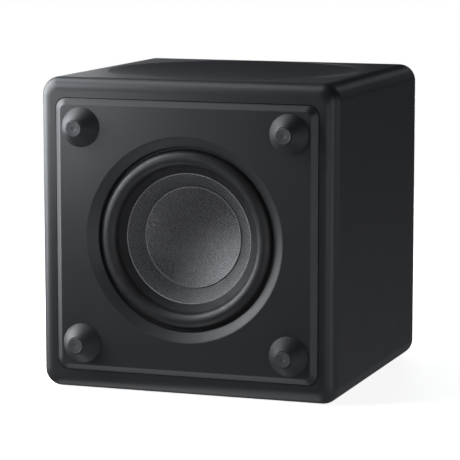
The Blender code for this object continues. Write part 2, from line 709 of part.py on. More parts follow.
def make_controls(paint):
    """Pairing button with its switch, and the status light, on a small board behind the tray."""
    under_t = TRAY_UNDER_T - GAP
    button = [
        (0.0, under_t - 2.0),
        (5.5, under_t - 2.0),
        (5.5, under_t),
        (4.0, under_t),
        (4.0, TRAY_FLOOR_T + 1.0),
        (3.5, TRAY_FLOOR_T + 1.5),
        (2.4, TRAY_FLOOR_T + 1.5),
        (0.0, TRAY_FLOOR_T + 1.1),
    ]
    make_object("pairing_button", turned(button, SMALL_ROUND), paint["button"], (BUTTON_X, 0.0, TRAY_H))

    board_t, board_back_t = 207.1, 208.7
    middle = ((BUTTON_X + LIGHT_X) / 2 - 1.0, TRAY_H)
    make_object("control_board", slab(20.0, 14.0, 1.0, board_t, board_back_t, middle), paint["board"])

    plunger_t = under_t - 3.1
    steps = [(3.0, board_back_t + GAP), (3.0, plunger_t - 1.0), (1.7, plunger_t - 1.0), (1.7, plunger_t)]
    rings = [outline(half, half, 0.6, t, (BUTTON_X, TRAY_H), 2) for half, t in steps]
    make_object("pairing_switch", loft(rings), paint["socket"])

    lens = [
        (0.0, board_back_t + 1.5),
        (1.6, board_back_t + 1.5),
        (1.6, under_t - 1.0),
        (2.8, under_t - 1.0),
        (2.8, under_t),
        (1.7, under_t),
        (1.7, TRAY_FLOOR_T + 0.2),
        (1.2, TRAY_FLOOR_T + 0.6),
        (0.0, TRAY_FLOOR_T + 0.7),
    ]
    make_object("status_light", turned(lens, 16), paint["light"], (LIGHT_X, 0.0, TRAY_H))


def make_main_board(paint):
    """Amplifier and power supply on one board, carried by four posts of the rear plate."""
    half = BOARD_SCREW_OFFSET + 5.0
    board = make_object("main_board", slab(half, half, 2.0, BOARD_T, BOARD_BACK_T), paint["board"])
    holes = bmesh.new()
    places = [(sx * BOARD_SCREW_OFFSET, sh * BOARD_SCREW_OFFSET) for _, sx, sh in CORNERS]
    for place in places:
        add_disc(holes, 1.6, BOARD_T - 1.0, BOARD_BACK_T + 1.0, place, SCREW_ROUND)
    boolean(board, make_cutter("cut_board", holes))
    head_t = BOARD_T - GAP
    screw = [(0.0, head_t - 2.0), (2.8, head_t - 2.0), (2.8, head_t), (1.2, head_t), (1.2, 197.5), (0.0, 198.5)]
    for i, (x, h) in enumerate(places, 1):
        make_object(f"board_screw_{i}", turned(screw, SCREW_ROUND), paint["plated"], (x, 0.0, h))


def make_transformer(paint):
    """Ferrite core with a wider wound bobbin across its middle."""
    seat = BOARD_BACK_T + GAP
    steps = [(15, 11, seat), (15, 11, seat + 5), (17, 14, seat + 5), (17, 14, seat + 18), (15, 11, seat + 18)]
    steps.append((15, 11, seat + 23))
    rings = [outline(w, h, 2.0, t, (28.0, 30.0), 2) for w, h, t in steps]
    make_object("transformer", loft(rings), paint["core"])


def make_heat_sink(paint):
    """Extrusion with eight fins that stand along the board."""
    seat = BOARD_BACK_T + GAP
    base_h, fin_h = 2.0, 10.0
    low_h = -2.0
    fins, pitch, thick = 8, 7.0, 2.0
    section = [(0.0, low_h), (0.0, low_h + base_h)]
    for i in range(fins):
        start = i * pitch
        if i:
            section.append((start, low_h + base_h))
        section += [(start, low_h + fin_h), (start + thick, low_h + fin_h), (start + thick, low_h + base_h)]
    section.append((section[-1][0], low_h))
    section = [p for i, p in enumerate(section) if i != 1]
    width = section[-1][0]
    rings = [[(x - width / 2, t, h) for x, h in section] for t in (seat, seat + 26.0)]
    make_object("heat_sink", loft(rings), paint["aluminium"])


def make_electronics(paint):
    seat = BOARD_BACK_T + GAP
    make_main_board(paint)
    make_transformer(paint)
    make_heat_sink(paint)
    can = [(0.0, seat), (9.0, seat), (9.0, seat + 26.0), (8.4, seat + 26.6), (0.0, seat + 26.6)]
    make_object("bulk_capacitor", turned(can, SMALL_ROUND), paint["capacitor"], (-18.0, 0.0, 34.0))
    module = [outline(17, 11, 1.0, t, (24.0, -34.0), 2) for t in (seat, seat + 1.0)]
    module += [outline(13, 9, 0.8, t, (24.0, -34.0), 2) for t in (seat + 1.0, seat + 3.4)]
    make_object("wireless_module", loft(module), paint["shield"])


def make_leads_and_lining(paint):
    """Wires from the board to the driver, and wadding on the cavity's floor."""
    for colour, sign in (("red", 1), ("black", -1)):
        route = [
            (sign * 7.0, 20.8, -82.0),
            (sign * 7.0, 32.0, -83.5),
            (sign * 6.0, 60.0, -78.0),
            (sign * 4.0, 100.0, -74.0),
            (sign * 3.0, 140.0, -66.0),
            (sign * 3.0, 170.0, -52.0),
            (sign * 3.0, 183.0, -46.0),
            (sign * 3.0, BOARD_T - GAP, -45.5),
        ]
        make_wire("speaker_lead_" + colour, route, 2.2, paint[colour + "_lead"], steps=4)
    lining = bmesh.new()
    low_h, high_h = -CAVITY_HALF_HEIGHT + GAP, -CAVITY_HALF_HEIGHT + 18.0
    middle = (low_h + high_h) / 2
    add_slab(lining, 88.0, (high_h - low_h) / 2, 3.0, 105.0, 208.0, (0.0, middle))
    make_object("wadding", lining, paint["wadding"])


# ---- Build -------------------------------------------------------------------------------------

def main():
    for old in list(bpy.data.objects):
        bpy.data.objects.remove(old, do_unlink=True)
    paint = make_materials()
    make_cabinet(paint)
    make_panel(paint)
    make_feet(paint)
    make_driver(paint)
    make_amp_plate(paint)
    make_amp_fixings(paint)
    make_inlet(paint)
    make_controls(paint)
    make_electronics(paint)
    make_leads_and_lining(paint)


main()
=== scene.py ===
"""Looks of a compact down-firing subwoofer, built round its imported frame.

Lengths are millimetres in local coordinates: x to the right, t behind the front panel's face and
h above the cabinet's centre line. make_piece turns them into metres in the frame.
"""

import json
import math

import bmesh
import bpy
import numpy as np
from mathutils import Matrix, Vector


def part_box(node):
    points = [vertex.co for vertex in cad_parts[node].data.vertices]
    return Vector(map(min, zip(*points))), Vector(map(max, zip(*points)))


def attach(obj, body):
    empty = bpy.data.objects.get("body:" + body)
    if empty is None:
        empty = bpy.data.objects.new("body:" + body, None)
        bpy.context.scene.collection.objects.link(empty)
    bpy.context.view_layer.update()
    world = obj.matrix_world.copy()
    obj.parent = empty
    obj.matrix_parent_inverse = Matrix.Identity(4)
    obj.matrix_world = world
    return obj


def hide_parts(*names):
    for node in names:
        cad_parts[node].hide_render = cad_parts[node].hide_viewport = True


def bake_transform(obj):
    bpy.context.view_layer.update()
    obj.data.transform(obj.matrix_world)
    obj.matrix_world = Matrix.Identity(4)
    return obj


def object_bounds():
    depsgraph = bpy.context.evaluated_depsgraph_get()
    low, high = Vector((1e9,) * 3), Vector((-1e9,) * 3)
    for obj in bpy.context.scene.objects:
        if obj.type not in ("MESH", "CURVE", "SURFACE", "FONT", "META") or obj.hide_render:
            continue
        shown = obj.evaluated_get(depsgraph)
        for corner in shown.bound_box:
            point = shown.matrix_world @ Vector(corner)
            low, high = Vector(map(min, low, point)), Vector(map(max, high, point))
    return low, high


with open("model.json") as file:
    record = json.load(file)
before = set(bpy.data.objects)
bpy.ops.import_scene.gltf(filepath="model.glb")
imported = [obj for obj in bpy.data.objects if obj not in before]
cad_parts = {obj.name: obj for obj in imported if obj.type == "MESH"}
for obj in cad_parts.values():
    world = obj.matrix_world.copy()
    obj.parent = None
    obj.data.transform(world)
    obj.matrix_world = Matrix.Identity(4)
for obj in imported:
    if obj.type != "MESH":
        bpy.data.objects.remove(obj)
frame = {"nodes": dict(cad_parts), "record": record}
cad_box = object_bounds()

MM = 0.001

# ---- Sizes (mm) --------------------------------------------------------------------------------

PANEL_LOW, PANEL_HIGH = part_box("baffle_panel")
CABINET_LOW, CABINET_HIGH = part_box("cabinet_shell")
PLATE_LOW, PLATE_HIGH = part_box("amp_plate")
FRONT_Y = PANEL_LOW.y / MM                      # the panel's face
CENTRE_Z = (CABINET_LOW.z + CABINET_HIGH.z) / 2 / MM
HALF_WIDTH = (CABINET_HIGH.x - CABINET_LOW.x) / 2 / MM
HALF_HEIGHT = (CABINET_HIGH.z - CABINET_LOW.z) / 2 / MM
RIM_T = CABINET_LOW.y / MM - FRONT_Y            # the cabinet's front rim
BACK_T = CABINET_HIGH.y / MM - FRONT_Y          # the cabinet's rear face
PANEL_BACK_T = PANEL_HIGH.y / MM - FRONT_Y
PLATE_BACK_T = PLATE_HIGH.y / MM - FRONT_Y      # the rear plate's outer face

EDGE_RADIUS = 13.0
REAR_RADIUS = 10.0
FRONT_ROUND_WIDTH = 10.5
FRONT_ROUND_DEPTH = 11.0
CORNER_SHRINK = 0.8                             # an outline's corner shrinks by this much of its inset
PANEL_HALF = 103.4
PANEL_TOP_HALF = 98.8
PANEL_CORNER = 8.0
PANEL_TOP_CORNER = 4.5
GAP = 0.3
PANEL_GAP = 0.14                                # what shows of the gap round the front panel
WALL = 12.0
REAR_REBATE_DEPTH = 5.0
LEDGE_T = RIM_T + 8.0
DRIVER_HOLE_RADIUS = 92.0
DISH_RADIUS = 99.0
DISH_DEPTH = 7.0

FOOT_OFFSET = 82.0
FOOT_BASE_RADIUS = 15.0
FOOT_TIP_RADIUS = 6.7
FOOT_PAD_RADIUS = 6.0
FOOT_HEIGHT = 13.9
FOOT_CONE_TOP_T = -12.9
FOOT_PAD_SEAT_T = -11.0
FOOT_SCREW_SEAT_T = -7.6
FOOT_SCREW_SEAT_RADIUS = 4.0
FOOT_SCREW_RADIUS = 2.3

WELL_RADIUS = 76.8
WELL_THROAT_RADIUS = 69.6
WELL_CHAMFER_DEPTH = 4.1
DRIVER_SEAT_RADIUS = 74.0                       # hollow behind the well's throat for the driver
LIP_RADIUS = 73.2
LAND_RADIUS = 54.9                              # where the surround's land meets its roll
MOVING_RADIUS = 55.3                            # inside this the real surround moves fully with the cone; here it is a point of the profile
ROLL_RADIUS = 6.2
ROLL_CENTRE_RADIUS = 61.3
ROLL_BASE_T = 7.4
CONE_OUTER_RADIUS = 49.3
CONE_OUTER_T = 10.5
INNER_DISH_RADIUS = 38.1
INNER_DISH_T = 21.4
INNER_DISH_SAG = 6.5

PLATE_HALF = 75.6
PLATE_REBATE_HALF = 76.0
PLATE_SCREW_OFFSET = 70.5
AMP_OPENING_HALF = 62.0
TRAY_HALF_WIDTH = 48.0
TRAY_HALF_HEIGHT = 17.0
TRAY_DEPTH = 9.0
TRAY_H = -30.0
TRAY_FLOOR_T = PLATE_BACK_T - TRAY_DEPTH
TRAY_UNDER_T = TRAY_FLOOR_T - 2.0
INLET_X = -27.0
INLET_PIN_REACH = 4.3                           # from the inlet's middle to each pin
MOUTH_FLOOR_T = 205.0
PIN_BORE_FLOOR_T = 199.0
PIN_TIP_T = 216.8
BUTTON_X = 20.0
LIGHT_X = 36.0

DRIVER_ROUND = 192                              # sides of the driver's turned pieces
ROUND = 160
FOOT_ROUND = 96
SMALL_ROUND = 64
SHARP_DEG = 32                                  # edges steeper than this stay sharp
CORNERS = [("top_left", -1, 1), ("top_right", 1, 1), ("bottom_left", -1, -1), ("bottom_right", 1, -1)]


# ---- Node helpers ------------------------------------------------------------------------------

class Paint:
    """A material under construction, with short calls for the nodes that it uses."""

    def __init__(self, name, colour, roughness, metallic=0.0):
        self.material = bpy.data.materials.new(name)
        self.material.use_nodes = True
        self.nodes = self.material.node_tree.nodes
        self.links = self.material.node_tree.links
        self.shader = self.nodes["Principled BSDF"]
        self.shader.inputs["Base Color"].default_value = (*colour, 1.0)
        self.shader.inputs["Roughness"].default_value = roughness
        self.shader.inputs["Metallic"].default_value = metallic
        self.colour = colour
        self.roughness = roughness
        self.place = self.nodes.new("ShaderNodeTexCoord").outputs["Object"]

    def set(self, **values):
        for key, value in values.items():
            self.shader.inputs[key.replace("_", " ")].default_value = value
        return self

    def noise(self, size_mm, detail=3.0, roughness=0.5, place=None):
        """Noise whose blobs are about size_mm across."""
        node = self.nodes.new("ShaderNodeTexNoise")
        node.inputs["Scale"].default_value = 1.0 / (size_mm * MM)
        node.inputs["Detail"].default_value = detail
        node.inputs["Roughness"].default_value = roughness
        self.links.new(place or self.place, node.inputs["Vector"])
        return node.outputs["Fac"]

    def cells(self, size_mm, feature="F1"):
        """Distances within cells that are about size_mm across."""
        node = self.nodes.new("ShaderNodeTexVoronoi")
        node.feature = feature
        node.inputs["Scale"].default_value = 1.0 / (size_mm * MM)
        self.links.new(self.place, node.inputs["Vector"])
        return node.outputs["Distance"]

    def math(self, operation, *values):
        node = self.nodes.new("ShaderNodeMath")
        node.operation = operation
        for socket, value in zip(node.inputs, values):
            if isinstance(value, (int, float)):
                socket.default_value = value
            else:
                self.links.new(value, socket)
        return node.outputs[0]

    def ramp(self, factor, low, high, from_low=0.35, from_high=0.65):
        """Map a factor's useful range onto low to high."""
        node = self.nodes.new("ShaderNodeMapRange")
        node.inputs["From Min"].default_value = from_low
        node.inputs["From Max"].default_value = from_high
        node.inputs["To Min"].default_value = low
        node.inputs["To Max"].default_value = high
        self.links.new(factor, node.inputs["Value"])
        return node.outputs["Result"]

    def mix(self, factor, a, b):
        """A colour between a and b."""
        node = self.nodes.new("ShaderNodeMix")
        node.data_type = "RGBA"
        for name, value in (("A_Color", a), ("B_Color", b)):
            socket = next(s for s in node.inputs if s.identifier == name)
            if isinstance(value, tuple):
                socket.default_value = (*value, 1.0)
            else:
                self.links.new(value, socket)
        self.links.new(factor, node.inputs[0])
        return next(s for s in node.outputs if s.identifier == "Result_Color")

    def axes(self):
        node = self.nodes.new("ShaderNodeSeparateXYZ")
        self.links.new(self.place, node.inputs[0])
        return node.outputs

    def bump(self, height, depth_mm, strength=1.0):
        node = self.nodes.new("ShaderNodeBump")
        node.inputs["Strength"].default_value = strength
        node.inputs["Distance"].default_value = depth_mm * MM
        self.links.new(height, node.inputs["Height"])
        return node.outputs["Normal"]

    def use(self, colour=None, roughness=None, normal=None):
        for name, value in (("Base Color", colour), ("Roughness", roughness), ("Normal", normal)):
            if value is not None:
                self.links.new(value, self.shader.inputs[name])
        return self.material


def shade(colour, amount):
    return tuple(min(1.0, c * amount) for c in colour)


# ---- Materials ---------------------------------------------------------------------------------

def moulded_plastic(name, colour, roughness, grain_mm=0.45, grain_depth=0.012):
    """Satin plastic: a fine moulded grain, slow tone changes and faint handling marks."""
    paint = Paint(name, colour, roughness)
    slow = paint.noise(60.0, 2.0)
    marks = paint.noise(18.0, 4.0, 0.6)
    fine = paint.noise(0.9, 3.0)
    tone = paint.math("ADD", paint.math("MULTIPLY", slow, 0.5), paint.math("MULTIPLY", fine, 0.5))
    colour_out = paint.mix(paint.ramp(tone, 0.0, 1.0), shade(colour, 0.955), shade(colour, 1.05))
    rough = paint.ramp(marks, roughness - 0.012, roughness + 0.014)
    grain = paint.bump(paint.noise(grain_mm, 2.0), grain_depth, 0.6)
    return paint.use(colour_out, rough, grain)


def moulded_rubber(name, colour, roughness, gloss=0.5):
    """Rubber with a soft bloom and a very fine surface."""
    paint = Paint(name, colour, roughness).set(Specular_IOR_Level=gloss)
    bloom = paint.noise(14.0, 4.0, 0.6)
    colour_out = paint.mix(paint.ramp(bloom, 0.0, 1.0), shade(colour, 0.85), shade(colour, 1.25))
    rough = paint.ramp(paint.noise(5.0, 4.0), roughness - 0.04, roughness + 0.05)
    normal = paint.bump(paint.noise(0.35, 2.0), 0.008, 0.6)
    return paint.use(colour_out, rough, normal)


def woven_fibre(name, colour, pitch_mm, turn_deg, roughness, relief=0.2, painted_gap_shade=0.10, glint=0.9,
                floats=1.0, metallic=0.0):
    """Weave of two thread directions; each thread floats over one crossing, or over two in a twill. Its
    colour holds painted light: painted highlights on the thread crowns, painted shade in the gaps, a
    painted sheen on one thread direction and painted glints on random crossings.
    """
    paint = Paint(name, colour, roughness, metallic)
    x, _, z = paint.axes()
    turn = math.radians(turn_deg)
    scale = 1.0 / (pitch_mm * MM)

    def along(a, b):
        first = paint.math("MULTIPLY", x, a * scale)
        return paint.math("ADD", first, paint.math("MULTIPLY", z, b * scale))

    u = along(math.cos(turn), math.sin(turn))
    v = along(-math.sin(turn), math.cos(turn))
    crown_u = paint.math("ABSOLUTE", paint.math("SINE", paint.math("MULTIPLY", u, math.pi)))
    crown_v = paint.math("ABSOLUTE", paint.math("SINE", paint.math("MULTIPLY", v, math.pi)))
    cell_u, cell_v = paint.math("FLOOR", u), paint.math("FLOOR", v)
    step = paint.math("FLOORED_MODULO", paint.math("ADD", cell_u, cell_v), 2.0 * floats)
    over = paint.math("LESS_THAN", step, floats - 0.5)
    under = paint.math("SUBTRACT", 1.0, over)
    bulge_u = paint.math("MULTIPLY", crown_u, paint.math("MULTIPLY_ADD", crown_v, 0.5, 0.5))
    bulge_v = paint.math("MULTIPLY", crown_v, paint.math("MULTIPLY_ADD", crown_u, 0.5, 0.5))
    height = paint.math(
        "ADD", paint.math("MULTIPLY", bulge_u, over), paint.math("MULTIPLY", bulge_v, under)
    )
    crossing = paint.nodes.new("ShaderNodeCombineXYZ")
    paint.links.new(cell_u, crossing.inputs[0])
    paint.links.new(cell_v, crossing.inputs[1])
    chance = paint.nodes.new("ShaderNodeTexWhiteNoise")
    paint.links.new(crossing.outputs[0], chance.inputs["Vector"])
    luck = chance.outputs["Value"]
    strand = paint.noise(0.9, 4.0)
    # painted glints: random crossings are painted lighter; the strand noise joined to them is random tone
    painted_glint = paint.ramp(luck, 1.0 - 0.5 * glint, 1.0, 0.0, 1.0)
    tone_and_painted_glint = paint.math("MULTIPLY", paint.ramp(strand, 0.75, 1.15), painted_glint)
    # painted highlight on the thread crowns and painted shade in the gaps between threads, taken from the
    # weave's height
    painted_crown_light = paint.math("MULTIPLY", tone_and_painted_glint, paint.math("MULTIPLY", height, height))
    # painted sheen: threads running one way are painted up to four times lighter than threads running the
    # other way
    warp_painted_sheen = paint.mix(painted_crown_light, shade(colour, painted_gap_shade * 2.0), shade(colour, 2.0))
    weft_painted_shade = paint.mix(painted_crown_light, shade(colour, painted_gap_shade), shade(colour, 0.5))
    rough = paint.ramp(luck, roughness - 0.14 * glint, roughness + 0.12 * glint, 0.0, 1.0)
    uneven = paint.math("MULTIPLY", height, paint.ramp(luck, 1.0 - 0.6 * glint, 1.0, 0.0, 1.0))
    normal = paint.bump(uneven, relief, 1.0)
    return paint.use(paint.mix(over, weft_painted_shade, warp_painted_sheen), rough, normal)


def powder_coat(name, colour, roughness):
    paint = Paint(name, colour, roughness, 0.2)
    normal = paint.bump(paint.noise(0.7, 3.0), 0.03, 0.5)
    tone = paint.mix(paint.ramp(paint.noise(20.0), 0.0, 1.0), shade(colour, 0.85), shade(colour, 1.2))
    return paint.use(tone, paint.ramp(paint.noise(3.0), roughness - 0.06, roughness + 0.08), normal)


def bare_metal(name, colour, roughness):
    """Metal with fine machining lay and slightly uneven tarnish."""
    paint = Paint(name, colour, roughness, 1.0)
    stretch = paint.nodes.new("ShaderNodeMapping")
    stretch.inputs["Scale"].default_value = (1.0, 0.05, 1.0)
    paint.links.new(paint.place, stretch.inputs["Vector"])
    lay = paint.noise(0.25, 3.0, 0.6, stretch.outputs[0])
    tarnish = paint.noise(12.0, 4.0)
    tone = paint.mix(paint.ramp(tarnish, 0.0, 1.0), shade(colour, 0.82), shade(colour, 1.06))
    rough = paint.ramp(lay, roughness - 0.08, roughness + 0.12)
    return paint.use(tone, rough, paint.bump(lay, 0.01, 0.4))


def wound_wire(name, colour):
    """Enamelled wire laid turn beside turn along the axis, with painted shade where the turns meet and
    painted light on their crowns.
    """
    paint = Paint(name, colour, 0.30, 1.0)
    _, y, _ = paint.axes()
    turn = paint.math("ABSOLUTE", paint.math("SINE", paint.math("MULTIPLY", y, math.pi / (0.35 * MM))))
    # painted shade between the turns and painted highlight on their crowns
    tone = paint.mix(turn, shade(colour, 0.35), shade(colour, 1.1))
    return paint.use(tone, None, paint.bump(turn, 0.12, 0.8))


def sintered(name, colour, roughness):
    """Ceramic or ferrite: tiny pits and a ground face."""
    paint = Paint(name, colour, roughness)
    pits = paint.cells(1.1)
    tone = paint.mix(paint.ramp(paint.noise(2.0, 5.0), 0.0, 1.0), shade(colour, 0.7), shade(colour, 1.4))
    rough = paint.ramp(pits, roughness - 0.1, roughness + 0.1, 0.1, 0.7)
    return paint.use(tone, rough, paint.bump(pits, 0.05, 0.4))


def open_foam(name, colour, cell_mm):
    paint = Paint(name, colour, 0.95)
    cell = paint.cells(cell_mm)
    tone = paint.mix(paint.ramp(cell, 0.0, 1.0, 0.1, 0.6), shade(colour, 1.3), shade(colour, 0.35))
    return paint.use(tone, None, paint.bump(cell, 0.5, 0.8))


def fibre_lining(name, colour):
    """Tangled wadding fibres."""
    paint = Paint(name, colour, 0.98).set(Sheen_Weight=0.4)
    tangle = paint.noise(1.2, 8.0, 0.75)
    clumps = paint.noise(15.0, 4.0)
    both = paint.math("ADD", paint.math("MULTIPLY", tangle, 0.6), paint.math("MULTIPLY", clumps, 0.4))
    tone = paint.mix(paint.ramp(both, 0.0, 1.0), shade(colour, 0.55), shade(colour, 1.2))
    return paint.use(tone, None, paint.bump(both, 2.0, 0.8))


def circuit_board(name, colour):
    """Solder mask over copper tracks, with pads."""
    paint = Paint(name, colour, 0.38).set(Coat_Weight=0.4)
    tracks = paint.cells(7.0, "DISTANCE_TO_EDGE")
    line = paint.ramp(tracks, 1.0, 0.0, 0.05, 0.08)
    tone = paint.mix(line, colour, shade(colour, 1.9))
    return paint.use(tone, paint.ramp(paint.noise(4.0), 0.32, 0.44), paint.bump(line, 0.04, 0.6))


def former_sheet(name, colour):
    paint = Paint(name, colour, 0.45)
    fibres = paint.noise(0.8, 6.0, 0.7)
    tone = paint.mix(paint.ramp(fibres, 0.0, 1.0), shade(colour, 0.8), shade(colour, 1.15))
    return paint.use(tone, paint.ramp(fibres, 0.40, 0.55), paint.bump(fibres, 0.03, 0.4))


def clear_lens(name, colour):
    """Frosted light pipe."""
    paint = Paint(name, colour, 0.22).set(Transmission_Weight=0.6, IOR=1.49)
    frost = paint.noise(0.5, 3.0)
    tone = paint.mix(paint.ramp(frost, 0.0, 1.0), shade(colour, 0.9), shade(colour, 1.05))
    return paint.use(tone, paint.ramp(frost, 0.16, 0.30), paint.bump(frost, 0.01, 0.3))


def make_paints():
    satin = (0.021, 0.022, 0.0245)
    return {
        "cabinet": moulded_plastic("cabinet_satin", satin, 0.40),
        "panel": moulded_plastic("panel_satin", (0.022, 0.023, 0.0255), 0.40),
        "foot": moulded_plastic("foot_satin", (0.022, 0.023, 0.0255), 0.52, 0.4, 0.008),
        "pad": moulded_rubber("pad_rubber", (0.055, 0.056, 0.060), 0.62),
        "rubber": moulded_rubber("surround_rubber", (0.015, 0.015, 0.016), 0.44),
        "land": moulded_rubber("land_rubber", (0.014, 0.014, 0.015), 0.56, 0.25),
        "weave": woven_fibre("cone_weave", (0.25, 0.25, 0.26), 0.52, 75.0, 0.42, 0.16, 0.08,
                             1.2, 2.0, 0.4),
        "dish_weave": woven_fibre("dish_weave", (0.24, 0.24, 0.247), 0.52, 72.0, 0.33, 0.07, 0.2,
                                  0.8, 2.0, 0.95),
        "bead": moulded_rubber("bead_resin", (0.36, 0.36, 0.37), 0.30),
        "former": former_sheet("former_sheet", (0.45, 0.27, 0.10)),
        "copper": wound_wire("copper_wire", (0.72, 0.32, 0.16)),
        "spider": woven_fibre("spider_cloth", (0.42, 0.28, 0.08), 0.7, 20.0, 0.85),
        "frame": powder_coat("frame_coat", (0.014, 0.014, 0.015), 0.42),
        "plated": bare_metal("zinc_plate", (0.60, 0.60, 0.57), 0.32),
        "ferrite": sintered("ferrite", (0.035, 0.034, 0.036), 0.55),
        "screw": bare_metal("black_oxide", (0.05, 0.05, 0.052), 0.36),
        "foam": open_foam("seal_foam", (0.03, 0.03, 0.031), 0.9),
        "wadding": fibre_lining("wadding_fibre", (0.60, 0.60, 0.57)),
        "amp": moulded_plastic("plate_grain", (0.017, 0.017, 0.018), 0.52, 0.7, 0.035),
        "socket": moulded_plastic("socket_black", (0.012, 0.012, 0.013), 0.34, 0.3, 0.004),
        "pin": bare_metal("nickel_pin", (0.72, 0.71, 0.68), 0.20),
        "button": moulded_plastic("button_grey", (0.035, 0.036, 0.039), 0.42),
        "light": clear_lens("light_pipe", (0.80, 0.84, 0.88)),
        "board": circuit_board("solder_mask", (0.012, 0.085, 0.035)),
        "core": sintered("core_ferrite", (0.09, 0.085, 0.08), 0.5),
        "capacitor": moulded_plastic("capacitor_sleeve", (0.025, 0.040, 0.090), 0.28, 0.3, 0.004),
        "aluminium": bare_metal("extruded_aluminium", (0.78, 0.79, 0.80), 0.34),
        "shield": bare_metal("tinned_can", (0.70, 0.71, 0.70), 0.24),
        "red_lead": moulded_rubber("red_sleeve", (0.42, 0.02, 0.016), 0.42),
        "black_lead": moulded_rubber("black_sleeve", (0.014, 0.014, 0.014), 0.42),
        "strip": former_sheet("laminate_strip", (0.28, 0.15, 0.06)),
    }


# ---- Mesh helpers ------------------------------------------------------------------------------

def place(x, t, h):
    """A local point in millimetres as a point of the frame in metres."""
    return Vector((x, FRONT_Y + t, CENTRE_Z + h)) * MM


def make_piece(name, mesh_data, paint=None, at=(0.0, 0.0, 0.0), sharp_deg=SHARP_DEG):
    """Turn a bmesh in local millimetres into a smooth-shaded object."""
    bmesh.ops.recalc_face_normals(mesh_data, faces=mesh_data.faces)
    bmesh.ops.scale(mesh_data, vec=Vector((MM, MM, MM)), verts=mesh_data.verts)
    mesh = bpy.data.meshes.new(name)
    mesh_data.to_mesh(mesh)
    mesh_data.free()
    mesh.shade_smooth()
    mesh.set_sharp_from_angle(angle=math.radians(sharp_deg))
    made = bpy.data.objects.new(name, mesh)
    bpy.context.scene.collection.objects.link(made)
    made.location = place(*at)
    if paint is not None:
        mesh.materials.append(paint)
    return made


def carve(target, *cutters, operation="DIFFERENCE"):
    """Cut each solid out of the target, or join it on, and leave a plain mesh."""
    for cutter in cutters:
        step = target.modifiers.new("carve", "BOOLEAN")
        step.operation = operation
        step.solver = "EXACT"
        step.object = cutter
    graph = bpy.context.evaluated_depsgraph_get()
    mesh = bpy.data.meshes.new_from_object(target.evaluated_get(graph))
    old = target.data
    target.modifiers.clear()
    target.data = mesh
    bpy.data.meshes.remove(old)
    for cutter in cutters:
        bpy.data.objects.remove(cutter, do_unlink=True)
    mesh.shade_smooth()
    mesh.set_sharp_from_angle(angle=math.radians(SHARP_DEG))
    return target


def keep_flats_flat(piece):
    """Weight the normals by area, so that large flat faces shade flat beside round edges."""
    step = piece.modifiers.new("flat_faces", "WEIGHTED_NORMAL")
    step.keep_sharp = True
    step.weight = 100
    return piece


def settle(piece, body, slot, *nodes):
    """Attach the piece to the body that it rides on and hide the frame nodes that it stands for; slot is
    not used.
    """
    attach(piece, body)
    if nodes:
        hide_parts(*nodes)
    return piece


def add_turned(mesh_data, profile, sides, centre=(0.0, 0.0)):
    """Turn (radius, t) points about the depth axis, as a solid or as a closed ring."""
    solid = profile[0][0] == 0.0
    rings = []
    for radius, t in profile:
        if radius == 0.0:
            rings.append([mesh_data.verts.new((centre[0], t, centre[1]))])
            continue
        ring = []
        for i in range(sides):
            angle = 2 * math.pi * i / sides
            x = centre[0] + radius * math.cos(angle)
            h = centre[1] + radius * math.sin(angle)
            ring.append(mesh_data.verts.new((x, t, h)))
        rings.append(ring)
    pairs = list(zip(rings, rings[1:]))
    if not solid:
        pairs.append((rings[-1], rings[0]))
    for a, b in pairs:
        for i in range(sides):
            j = (i + 1) % sides
            if len(a) == 1:
                mesh_data.faces.new((a[0], b[i], b[j]))
            elif len(b) == 1:
                mesh_data.faces.new((a[i], b[0], a[j]))
            else:
                mesh_data.faces.new((a[i], b[i], b[j], a[j]))


def turned(profile, sides=ROUND, centre=(0.0, 0.0)):
    mesh_data = bmesh.new()
    add_turned(mesh_data, profile, sides, centre)
    return mesh_data


def outline(half_width, half_height, corner, t, centre=(0.0, 0.0), steps=14):
    """A rectangle with round corners, as points at one depth."""
    points = []
    for sx, sh, start in ((1, 1, 0), (-1, 1, 90), (-1, -1, 180), (1, -1, 270)):
        for i in range(steps + 1):
            angle = math.radians(start + 90 * i / steps)
            x = sx * (half_width - corner) + corner * math.cos(angle)
            h = sh * (half_height - corner) + corner * math.sin(angle)
            points.append((centre[0] + x, t, centre[1] + h))
    return points


def add_loft(mesh_data, rings):
    """Skin outlines of the same number of points, and close both ends."""
    made = [[mesh_data.verts.new(p) for p in ring] for ring in rings]
    count = len(made[0])
    for a, b in zip(made, made[1:]):
        for i in range(count):
            j = (i + 1) % count
            mesh_data.faces.new((a[i], b[i], b[j], a[j]))
    mesh_data.faces.new(made[0])
    mesh_data.faces.new(list(reversed(made[-1])))


def loft(rings):
    mesh_data = bmesh.new()
    add_loft(mesh_data, rings)
    return mesh_data


def slab(half_width, half_height, corner, low_t, high_t, centre=(0.0, 0.0)):
    """A plate with round corners between two depths."""
    return loft([outline(half_width, half_height, corner, t, centre, 10) for t in (low_t, high_t)])


def disc(radius, low_t, high_t, centre=(0.0, 0.0), sides=SMALL_ROUND):
    return turned([(0.0, low_t), (radius, low_t), (radius, high_t), (0.0, high_t)], sides, centre)


def arc(centre_r, centre_t, radius, start, end, steps):
    """Points (r, t) along an arc; 90 degrees points towards the front."""
    points = []
    for i in range(steps + 1):
        angle = math.radians(start + (end - start) * i / steps)
        points.append((centre_r + radius * math.cos(angle), centre_t - radius * math.sin(angle)))
    return points


